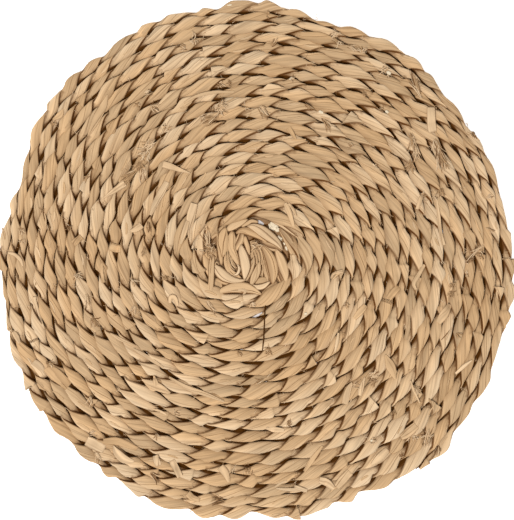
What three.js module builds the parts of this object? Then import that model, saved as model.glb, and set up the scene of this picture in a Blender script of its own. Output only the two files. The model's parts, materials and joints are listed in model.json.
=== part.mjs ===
// Round trivet mat: one rope of twisted dried leaf, coiled flat from its eye and sewn turn to turn.
// Millimetres, +Z up, the mat lying on its flat underside. X runs to the right and Y away from the viewer.
// Bearings are in degrees anticlockwise from +X, seen from above. The rope winds outwards clockwise.
import * as THREE from "three";

// The coil.
const ROPE_PITCH = 6.41; // from one turn to the next
const COIL_TURNS = 24.1; // from the eye's middle to the cut end
const FIRST_TURN = 1; // the rope's first turn, round its own folded end
const FOLD_HALF_WIDTH = 2.6; // the folded end in the eye pushes the turns out by this much
const RIM_FADE = 9; // the power by which the last turns are drawn tight and take the outline's unevenness
const END_BEARING = -52; // the side on which the cut end lies
const END_TAPER = 2.2; // how much narrower the rope is at its cut end
const END_TAPER_TURN = 0.06; // over this part of the last turn

// The eye lies a little off the middle of the outline, and the turns round it are wider than they are deep.
const EYE = { x: -3.65, y: 1.9 };
const EYE_FADE = 2.4; // the power by which the turns come round to the outline's middle
const EYE_OVAL = 2.6; // how much further out a turn runs on the oval's long axis
const EYE_OVAL_BEARING = 10;
const EYE_OVAL_FROM = 12; // the radius at which the oval is full
const FOLD_TOP = { radius: 1.6, ahead: 70 }; // the top of the folded end, by bearing from the first turn

// Lines along the rope: height above the table, and place across the rope, from -1 at its inner side to 1 at
// its outer one. Sway is how far the lenses push the line to and fro.
const CREST_HEIGHT = 6.4;
const VALLEY = { side: 1, height: 3.4, sway: 0.6 }; // where two turns meet
const SHOULDER = { side: 0.8, height: 4.9, sway: 1.3 }; // the outer turn's free side
const BELLY = { side: 1.1, height: 2.9, sway: 2.6 };
const FOOT = { side: 0.62, height: 0, sway: 0.65 };

// The two plies show by turns as leaning lenses, each a low bump along the rope's top and sides.
const PLY_SPACING = 18.4; // along the rope from lens to lens
const STEPS_PER_PLY = 4;
const SMALL_STEPS_PER_PLY = 8; // where the turns are small
const SMALL_RADIUS = 14;
const PLY_DIP = 1.3; // how far the top drops between two lenses
const LENS_POWER = 0.6; // under 1, so that a lens is full over most of its length
const MEAN_FULLNESS = 0.7;
const PLY_LEAN = 0.22; // how far along the lens its inner side leads and its outer side trails

// How far the outer edge lies outside an even spiral. The rows go anticlockwise from the cut end.
const EDGE_ROWS = [
  { bearing: -52, out: 3.4 },
  { bearing: -32, out: -1.4 },
  { bearing: -12, out: -4.5 },
  { bearing: 8, out: -5.1 },
  { bearing: 28, out: -4 },
  { bearing: 48, out: -3.6 },
  { bearing: 68, out: -4.8 },
  { bearing: 88, out: -2.1 },
  { bearing: 108, out: 0.7 },
  { bearing: 128, out: -0.1 },
  { bearing: 148, out: -1.3 },
  { bearing: 160, out: -7.2 },
  { bearing: 168, out: -5.8 },
  { bearing: 188, out: -2 },
  { bearing: 200, out: 1.5 },
  { bearing: 208, out: -0.8 },
  { bearing: 228, out: 1.1 },
  { bearing: 248, out: 1.7 },
  { bearing: 268, out: -1.4 },
  { bearing: 288, out: -0.2 },
];

const LEAF_COLOUR = 0xc5a27a;

function smoothstep(x) {
  const t = THREE.MathUtils.clamp(x, 0, 1);
  return t * t * (3 - 2 * t);
}

// The unevenness of the outer edge at a bearing, eased from row to row.
function edgeOut(bearing) {
  const first = EDGE_ROWS[0].bearing;
  const wrapped = first + THREE.MathUtils.euclideanModulo(bearing - first, 360);
  const next = EDGE_ROWS.findIndex((row) => row.bearing > wrapped);
  const b = next < 0 ? { bearing: first + 360, out: EDGE_ROWS[0].out } : EDGE_ROWS[next];
  const a = next < 0 ? EDGE_ROWS[EDGE_ROWS.length - 1] : EDGE_ROWS[next - 1];
  return THREE.MathUtils.lerp(a.out, b.out, smoothstep((wrapped - a.bearing) / (b.bearing - a.bearing)));
}

function bearingAt(turn) {
  return END_BEARING + 360 * (COIL_TURNS - turn);
}

// The outer edge of the rope at a turn, which is also the inner edge one turn later.
function edgeRadius(turn) {
  const rimShare = Math.pow(turn / COIL_TURNS, RIM_FADE);
  const even = ROPE_PITCH * turn + FOLD_HALF_WIDTH * (1 - rimShare);
  const taper = END_TAPER * smoothstep(1 - (COIL_TURNS - turn) / END_TAPER_TURN);
  return even + edgeOut(bearingAt(turn)) * rimShare - taper;
}

function radiusAt(turn, side) {
  return THREE.MathUtils.lerp(edgeRadius(turn - 1), edgeRadius(turn), (side + 1) / 2);
}

// A point by its radius and bearing from the middle of its own turn.
function polarPoint(radius, bearing, height) {
  const angle = THREE.MathUtils.degToRad(bearing);
  const ovalAngle = 2 * THREE.MathUtils.degToRad(bearing - EYE_OVAL_BEARING);
  const rimShare = radius / (ROPE_PITCH * COIL_TURNS);
  const oval = EYE_OVAL * Math.max(0, 1 - rimShare) * smoothstep(radius / EYE_OVAL_FROM);
  const drawnOut = radius + oval * Math.cos(ovalAngle);
  const eyeShare = Math.max(0, 1 - Math.pow(rimShare, EYE_FADE));
  return new THREE.Vector3(
    EYE.x * eyeShare + drawnOut * Math.cos(angle),
    EYE.y * eyeShare + drawnOut * Math.sin(angle),
    height,
  );
}

// How full a lens is at a phase along the rope: 0 between two lenses, 1 at the middle of one.
function lensFullness(phase) {
  return Math.pow(Math.abs(Math.sin(Math.PI * phase)), LENS_POWER);
}

// The steps along the rope, from the eye outwards, each with its turn and its phase in lenses.
function ropeSteps() {
  const steps = [{ turn: COIL_TURNS, phase: 0 }];
  while (steps[0].turn > FIRST_TURN) {
    const { turn, phase } = steps[0];
    const radius = radiusAt(turn, 0);
    const perPly = radius < SMALL_RADIUS ? SMALL_STEPS_PER_PLY : STEPS_PER_PLY;
    const turnStep = PLY_SPACING / perPly / (2 * Math.PI * radius);
    steps.unshift({ turn: turn - turnStep, phase: phase - 1 / perPly });
  }
  return steps;
}

// Faces are gathered here as corner numbers, anticlockwise seen from outside.
class ClosedSurface {
  constructor() {
    this.points = [];
    this.faces = [];
  }

  addPoint(point) {
    this.points.push(point);
    return this.points.length - 1;
  }

  addTriangle(a, b, c) {
    this.faces.push(a, b, c);
  }

  // A band of quads between two lines of equal count, the first line on the left of the way it runs.
  addBand(inner, outer) {
    for (let i = 0; i + 1 < inner.length; i++) {
      this.addTriangle(inner[i], inner[i + 1], outer[i + 1]);
      this.addTriangle(inner[i], outer[i + 1], outer[i]);
    }
  }

  // A band between two lines of unequal count, stepping along whichever lags behind.
  addZipper(inner, innerTurns, outer, outerTurns) {
    let i = 0;
    let j = 0;
    while (i + 1 < inner.length || j + 1 < outer.length) {
      const innerLags = innerTurns[i + 1] - outerTurns[j] < outerTurns[j + 1] - innerTurns[i];
      if (j + 1 === outer.length || (i + 1 < inner.length && innerLags)) {
        this.addTriangle(inner[i], inner[i + 1], outer[j]);
        i += 1;
      } else {
        this.addTriangle(inner[i], outer[j + 1], outer[j]);
        j += 1;
      }
    }
  }

  // A flat face round a loop of corners, each laid out in the face's own plane by the given function.
  addFlatFace(loop, toPlane) {
    const flat = loop.map((corner) => toPlane(this.points[corner]));
    const turnsLeft = THREE.ShapeUtils.area(flat) > 0;
    for (const [a, b, c] of THREE.ShapeUtils.triangulateShape(flat, [])) {
      const left = (flat[b].x - flat[a].x) * (flat[c].y - flat[a].y)
        - (flat[c].x - flat[a].x) * (flat[b].y - flat[a].y) > 0;
      if (left === turnsLeft) this.addTriangle(loop[a], loop[b], loop[c]);
      else this.addTriangle(loop[a], loop[c], loop[b]);
    }
  }

  toGeometry() {
    return new THREE.BufferGeometry().setFromPoints(this.points).setIndex(this.faces);
  }
}

function coiledRopeGeometry() {
  const steps = ropeSteps();
  const last = steps.length - 1;
  const oneTurnBack = COIL_TURNS - 1;
  let free = steps.findIndex((step) => step.turn > oneTurnBack);
  if (oneTurnBack - steps[free - 1].turn < steps[free].turn - oneTurnBack) free -= 1;
  steps[free].turn = oneTurnBack;
  const turns = steps.map((step) => step.turn);
  const surface = new ClosedSurface();

  // A point on the rope's skin, pushed out where the lens on that side is full and drawn in where thin.
  const skinPoint = ({ turn, phase }, { side, height, sway = 0 }) => {
    const push = sway * (lensFullness(phase - PLY_LEAN * side) - MEAN_FULLNESS);
    return surface.addPoint(polarPoint(radiusAt(turn, side) + push, bearingAt(turn), height));
  };
  const skinLine = (lineSteps, place) => lineSteps.map((step) => skinPoint(step, place));
  const crest = steps.map((step) => {
    const height = CREST_HEIGHT - PLY_DIP * (1 - lensFullness(step.phase));
    return skinPoint(step, { side: 0, height });
  });
  const valley = skinLine(steps.slice(0, free + 1), VALLEY);
  const freeSteps = steps.slice(free);
  const shoulder = [valley.at(-1), ...skinLine(freeSteps.slice(1), SHOULDER)];
  const belly = skinLine(freeSteps, BELLY);
  const foot = skinLine(freeSteps, FOOT);

  // The ridged top: each turn's outer slope, then the inner slope of the turn round it.
  const secondTurn = turns.findIndex((turn) => turn >= turns[0] + 1);
  const turnsBefore = turns.slice(secondTurn).map((turn) => turn - 1);
  surface.addBand(crest, [...valley, ...shoulder.slice(1)]);
  surface.addZipper(valley, turns.slice(0, free + 1), crest.slice(secondTurn), turnsBefore);

  // The eye: the first turn's inner slope, and the folded end that it goes round.
  const innerEdge = skinLine(steps.slice(0, secondTurn), { side: -1, height: VALLEY.height });
  surface.addBand([...innerEdge, valley[0]], crest.slice(0, secondTurn + 1));
  const foldBearing = bearingAt(turns[0]) + FOLD_TOP.ahead;
  const foldTop = surface.addPoint(polarPoint(FOLD_TOP.radius, foldBearing, CREST_HEIGHT));
  const eyeLoop = [...innerEdge, valley[0], crest[0], innerEdge[0]];
  for (let k = 0; k + 1 < eyeLoop.length; k++) surface.addTriangle(foldTop, eyeLoop[k + 1], eyeLoop[k]);

  // The outer turn's free side, the flat underside, and the blunt cut across the rope's end.
  surface.addBand(shoulder, belly);
  surface.addBand(belly, foot);
  surface.addFlatFace(foot, (point) => new THREE.Vector2(point.x, point.y));
  const cutFace = [crest[last], shoulder[0], belly[0], foot[0], foot.at(-1), belly.at(-1), shoulder.at(-1)];
  surface.addFlatFace(cutFace, (point) => new THREE.Vector2(Math.hypot(point.x, point.y), point.z));

  // The origin is under the middle of the mat's outline.
  const geometry = surface.toGeometry();
  geometry.computeBoundingBox();
  const middle = geometry.boundingBox.getCenter(new THREE.Vector3());
  geometry.translate(-middle.x, -middle.y, 0);
  geometry.computeVertexNormals();
  return geometry;
}

const leafMaterial = new THREE.MeshStandardMaterial({ color: LEAF_COLOUR, roughness: 0.8, metalness: 0 });

const coiledRope = new THREE.Mesh(coiledRopeGeometry(), leafMaterial);
coiledRope.name = "coiled_rope_mat";

const trivetMat = new THREE.Group();
trivetMat.add(coiledRope);

export default trivetMat;
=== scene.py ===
"""Round trivet mat: one two-ply rope of dried leaf, coiled flat from its eye and sewn turn to turn."""
import json
import math

import bmesh
import bpy
import numpy as np
from bpy.props import FloatProperty, FloatVectorProperty, IntProperty, PointerProperty
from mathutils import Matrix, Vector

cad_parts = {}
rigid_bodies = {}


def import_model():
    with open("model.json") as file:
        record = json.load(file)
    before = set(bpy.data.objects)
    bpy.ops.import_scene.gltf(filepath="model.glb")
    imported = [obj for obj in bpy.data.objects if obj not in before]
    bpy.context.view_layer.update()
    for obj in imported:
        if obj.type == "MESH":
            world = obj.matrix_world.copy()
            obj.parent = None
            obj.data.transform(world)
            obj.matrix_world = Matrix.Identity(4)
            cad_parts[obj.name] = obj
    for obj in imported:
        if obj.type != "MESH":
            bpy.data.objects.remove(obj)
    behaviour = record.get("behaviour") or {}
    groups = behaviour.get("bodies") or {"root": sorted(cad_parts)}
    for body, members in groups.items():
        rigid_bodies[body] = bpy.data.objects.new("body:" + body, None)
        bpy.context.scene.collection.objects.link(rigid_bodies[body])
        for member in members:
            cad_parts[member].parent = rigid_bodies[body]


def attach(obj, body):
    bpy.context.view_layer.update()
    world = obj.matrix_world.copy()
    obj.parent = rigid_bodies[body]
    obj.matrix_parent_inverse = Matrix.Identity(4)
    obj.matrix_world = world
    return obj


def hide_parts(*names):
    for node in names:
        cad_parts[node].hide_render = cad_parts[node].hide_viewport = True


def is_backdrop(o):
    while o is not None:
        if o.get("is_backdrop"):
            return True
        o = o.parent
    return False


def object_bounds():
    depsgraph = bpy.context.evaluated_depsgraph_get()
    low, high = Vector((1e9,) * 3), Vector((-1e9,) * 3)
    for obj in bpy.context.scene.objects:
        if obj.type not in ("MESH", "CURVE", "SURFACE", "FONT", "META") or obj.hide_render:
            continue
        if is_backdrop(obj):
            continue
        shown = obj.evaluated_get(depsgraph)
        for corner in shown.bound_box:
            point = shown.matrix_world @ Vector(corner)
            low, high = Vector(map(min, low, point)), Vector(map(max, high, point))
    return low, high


bl_info = {
    "name": "Round trivet mat",
    "version": (1, 0, 0),
    "blender": (4, 5, 0),
    "location": "View3D > Sidebar > Trivet mat",
    "description": "Builds a coiled mat of twisted dried leaf round its solid",
    "category": "Add Mesh",
}

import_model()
CAD_LOW, CAD_HIGH = (np.array(corner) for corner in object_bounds())
CAD_MIDDLE = (CAD_LOW + CAD_HIGH) / 2
MAT_NODE = "coiled_rope_mat"
BODY = "root"
MM = 0.001

# The photograph's frame, in its pixels. The mat touches all four of its sides.
PHOTO_WIDTH = 514
PHOTO_HEIGHT = 520
COIL_PIXEL = (255.0, 262.9)
METRES_PER_PIXEL = 0.5828 * MM

# How far the outer edge lies outside an even spiral, in millimetres, anticlockwise from the rope's cut end.
EDGE_ROWS = (
    # bearing, out
    (-52, 4.3), (-32, -0.8), (-12, -4.2), (8, -5.9), (28, -4), (48, -4.6), (68, -6.6), (88, -1.5),
    (108, 2.1), (128, 0.6), (148, -2.4), (160, -7), (168, -5.8), (188, -1.6), (200, 3), (208, -0.3),
    (228, 0.6), (248, 2), (268, -1.4), (288, 0.6),
)

# The folded start of the rope, strip by strip. Places and widths are in pixels of the photograph, crown is
# the height of the strip's top over the table and thick its thickness, in millimetres. Tone runs from dark to
# pale and warmth from grey to russet. Later strips lie on earlier ones.
EYE_LEAVES = (
    # crown, thick, tone, warmth, ((x, y, width), ...)
    (3.4, 1.6, 0, 0.7, ((250, 238, 6), (255, 247, 13), (257, 260, 14), (256, 274, 12), (255, 284, 6))),
    (3.2, 1.6, 0, 0.7, ((238, 240, 6), (235, 250, 12), (236, 262, 12), (240, 274, 10))),
    (4.6, 2, 0.15, 0.7, ((211, 238, 3), (218, 231.5, 4.5), (226, 225.5, 3))),
    (4.6, 2, 0.15, 0.6, ((223, 224, 3), (232, 220.5, 4), (240, 219, 3))),
    (4.7, 2.2, 0.2, 0.8, ((215, 279.5, 3), (225, 282.5, 5), (236, 284.5, 3))),
    (4.6, 2, 0.25, 0.75, ((215, 280, 4), (218.5, 287, 8), (216.5, 294, 5))),
    (5.6, 2.4, 0.6, 0.5, ((227, 230.5, 2), (231, 227.5, 6), (239, 223.6, 5.5), (247.5, 219.4, 1.5))),
    (5.6, 1.4, 0.5, 0.6, ((242, 226.5, 1.5), (247, 223.6, 3), (252, 221, 3), (258, 222, 1.5))),
    (5.2, 2.6, 0.35, 0.95, (
        (236, 233, 2), (243, 230.6, 6), (252, 232.5, 7.5), (261, 237, 5.5), (268.5, 243, 2),
    )),
    (6.2, 3.4, 0.75, 0.55, (
        (247.5, 226, 1.5), (254, 227, 6.5), (262, 231, 9.5), (271, 237.5, 9), (278, 243.5, 6),
        (282.5, 250, 1.5),
    )),
    (5.3, 2.4, 0.55, 0.6, ((262, 242, 3), (269, 246, 6.5), (276, 248.5, 6), (281, 252, 2))),
    (4.9, 2.4, 0.2, 0.95, ((276.5, 265, 2), (278.5, 273, 5), (282, 281, 5), (284, 285.5, 2))),
    (6.1, 3.2, 0.6, 0.65, (
        (275.5, 249, 2), (279.5, 257, 8), (283, 267, 9.5), (285.3, 275, 7), (285.8, 282.5, 1.5),
    )),
    (4.6, 2.2, 0.3, 0.5, ((264, 256, 2), (265, 266, 5), (267.5, 276, 5), (268, 284, 2))),
    (6.3, 3.4, 0.5, 0.85, (
        (261.5, 245.5, 2), (266.5, 252, 7.5), (270.6, 261, 10.5), (272.6, 271, 10), (272.8, 279, 6),
        (272.8, 284, 1.5),
    )),
    (5.2, 2, 0.5, 0.6, ((244.6, 236.5, 3), (246, 242, 4), (248, 248, 4), (249.3, 255, 1.5))),
    (5.3, 2.4, 0.45, 0.3, ((241.5, 233.5, 5), (240, 240, 7.5), (236.5, 247, 6), (234, 253, 2))),
    (5.8, 2.6, 0.4, 0.6, (
        (232.5, 231.5, 3), (231.5, 239, 8), (231.5, 247, 7), (235, 257, 6), (239, 265.5, 2),
    )),
    (5, 2, 0.4, 0.7, ((217.5, 233, 2), (219, 244, 4), (220.5, 255, 4), (221.5, 264.5, 2))),
    (6.2, 3.2, 0.45, 0.8, (
        (225.6, 227.5, 2), (223.6, 234, 8), (223.3, 242, 9.3), (223.8, 249, 7), (222.5, 257, 1.5),
    )),
    (5, 2.2, 0.35, 0.15, ((254.8, 257, 2), (252, 265, 5), (249, 273, 5), (246, 281, 2))),
    (5.6, 2.6, 0.55, 0.25, ((259.5, 262, 2), (257.5, 270, 6), (254, 278, 6.5), (250.5, 286, 1.5))),
    (6.3, 3.4, 0.85, 0.5, (
        (240.8, 244.5, 2), (242.2, 251, 7), (244.6, 259, 9), (245.8, 267, 9), (245.2, 274, 5.5),
        (244.4, 280, 1.2),
    )),
    (5.2, 2.2, 0.5, 0.6, (
        (225.8, 253, 2), (226, 262, 4), (229.5, 270.5, 5), (236, 275.5, 4.5), (241.5, 279, 1.5),
    )),
    (6, 1.4, 1, 0.5, ((237.5, 264, 1.2), (239.3, 269, 2.4), (237.2, 273.8, 2.2), (234, 275, 1))),
    (6.2, 3.2, 0.8, 0.5, (
        (213.8, 264, 1.5), (217.5, 269.5, 8), (223.5, 275.5, 9.5), (231.5, 279.6, 7), (239, 280.8, 4),
        (245.5, 280, 1.2),
    )),
    (4.8, 2.2, 0.15, 0.7, ((255, 282, 4), (262, 280, 6), (268, 279, 4))),
    (5.5, 2.2, 0.85, 0.6, ((251.5, 285, 1.5), (257, 287.2, 4.5), (263, 286.5, 5), (270, 281.8, 1.5))),
    (5.2, 2.6, 0.4, 0.6, ((277.5, 283, 5), (270, 289, 6), (261.5, 295.5, 4))),
    (5.8, 3, 0.9, 0.55, (
        (214.5, 295.5, 1.5), (222, 297, 5), (231, 298.5, 8), (242, 298.4, 7.5), (251, 296.6, 5),
        (259, 294.4, 1.2),
    )),
    (6.3, 3.2, 0.6, 0.8, (
        (215.5, 294, 1.5), (223, 290.4, 5.5), (233, 287.8, 8.5), (244, 287.6, 9.5), (253, 290, 6.5),
        (262.5, 295, 1.2),
    )),
    (6.5, 1, 0.7, 0.6, ((236.2, 290.4, 1), (240.4, 289.8, 2.6), (245.4, 291, 3), (243.2, 294.2, 1))),
    (5.4, 2.4, 0.7, 0.6, (
        (264.5, 213.5, 2), (274, 217.5, 8), (286, 223.5, 10), (297, 232.5, 8), (303.5, 240.5, 1.5),
    )),
    (4.9, 2.4, 0.25, 0.55, (
        (279.5, 228.5, 3), (286.5, 237, 7.5), (292.5, 248, 8.5), (297, 259, 7), (299.5, 268, 2),
    )),
    (5.2, 2.4, 0.55, 0.55, (
        (208.5, 222, 2), (206.8, 230, 7), (205, 239, 9), (204.5, 248, 7), (206, 256, 2),
    )),
    (5.6, 3.6, 0.1, 0.95, (
        (203.5, 246, 3), (207, 248.5, 9), (210, 252.5, 12), (213, 257, 9), (214.5, 261, 2),
    )),
    (5.2, 2.2, 0.5, 0.7, ((203.5, 254, 2), (206.5, 262, 7), (208.5, 270, 6), (210, 278, 1.5))),
    (6.7, 0.7, 0.55, 0.6, ((212.5, 256, 3.6), (211.6, 266, 4.6), (211.2, 280, 4.6), (210, 296, 4.2))),
)

# Fibres in the eye: width in pixels, tone, and places in pixels with heights in millimetres.
EYE_FIBRES = (
    # width, tone, ((x, y, height), ...)
    (1.5, 0.6, ((250.8, 246, 5), (252.5, 243.2, 5.6), (256, 242.6, 5.9), (258.8, 245.2, 5.4))),
    (1.3, 0.7, ((251.5, 251, 4.8), (254, 247.5, 5.8), (257, 246, 6), (259.5, 248.5, 5.2))),
    (1.2, 0.5, ((250.2, 254.2, 4.8), (253.5, 251, 5.6), (256.5, 248.6, 5.9))),
    (1.6, 0.45, ((257.5, 245, 5.4), (260.4, 250, 5.6), (262.2, 257, 5.2), (261.4, 265, 4.6))),
    (1.3, 0.6, ((256, 248.5, 5.4), (258.8, 255, 5.6), (260.2, 264, 5))),
    (1.4, 0.4, ((254.6, 250.5, 5), (256.4, 257, 5.3), (257.6, 265, 4.8))),
    (1.2, 0.5, ((260, 246, 5.2), (263, 251, 5.4), (264.4, 259, 5), (263.6, 268, 4.6))),
    (1.3, 0.35, ((252.6, 252.5, 4.6), (253.8, 259, 5), (252.6, 266, 4.6))),
    (1.2, 0.6, ((262.3, 262, 4.8), (263, 270, 5), (262, 278, 4.6))),
    (1.4, 0.55, ((227.8, 248, 5.2), (227.8, 257, 5.4), (229.8, 265, 5.2), (234.6, 270.4, 5))),
    (1.2, 0.7, ((229.6, 249, 5), (230.2, 258, 5.4), (233, 264.5, 5.2), (237, 268, 4.8))),
    (1.2, 0.5, ((231.4, 254, 4.8), (232.2, 260.5, 5.2), (235.4, 265.6, 5))),
    (1.1, 0.4, ((228.8, 254, 4.8), (229.4, 262, 5.2), (232.6, 268, 4.8))),
    (1.1, 0.8, ((230.6, 257, 5), (231.8, 263.8, 5.6), (235.8, 268.6, 5))),
    (1.3, 0.6, ((226.2, 249, 5.2), (225.9, 259, 5.3), (228, 268, 5.2), (234, 274.4, 4.8))),
    (1.2, 0.6, ((214.8, 266, 5.2), (216.5, 262, 6.2), (218.8, 264.6, 5.4))),
)

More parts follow.
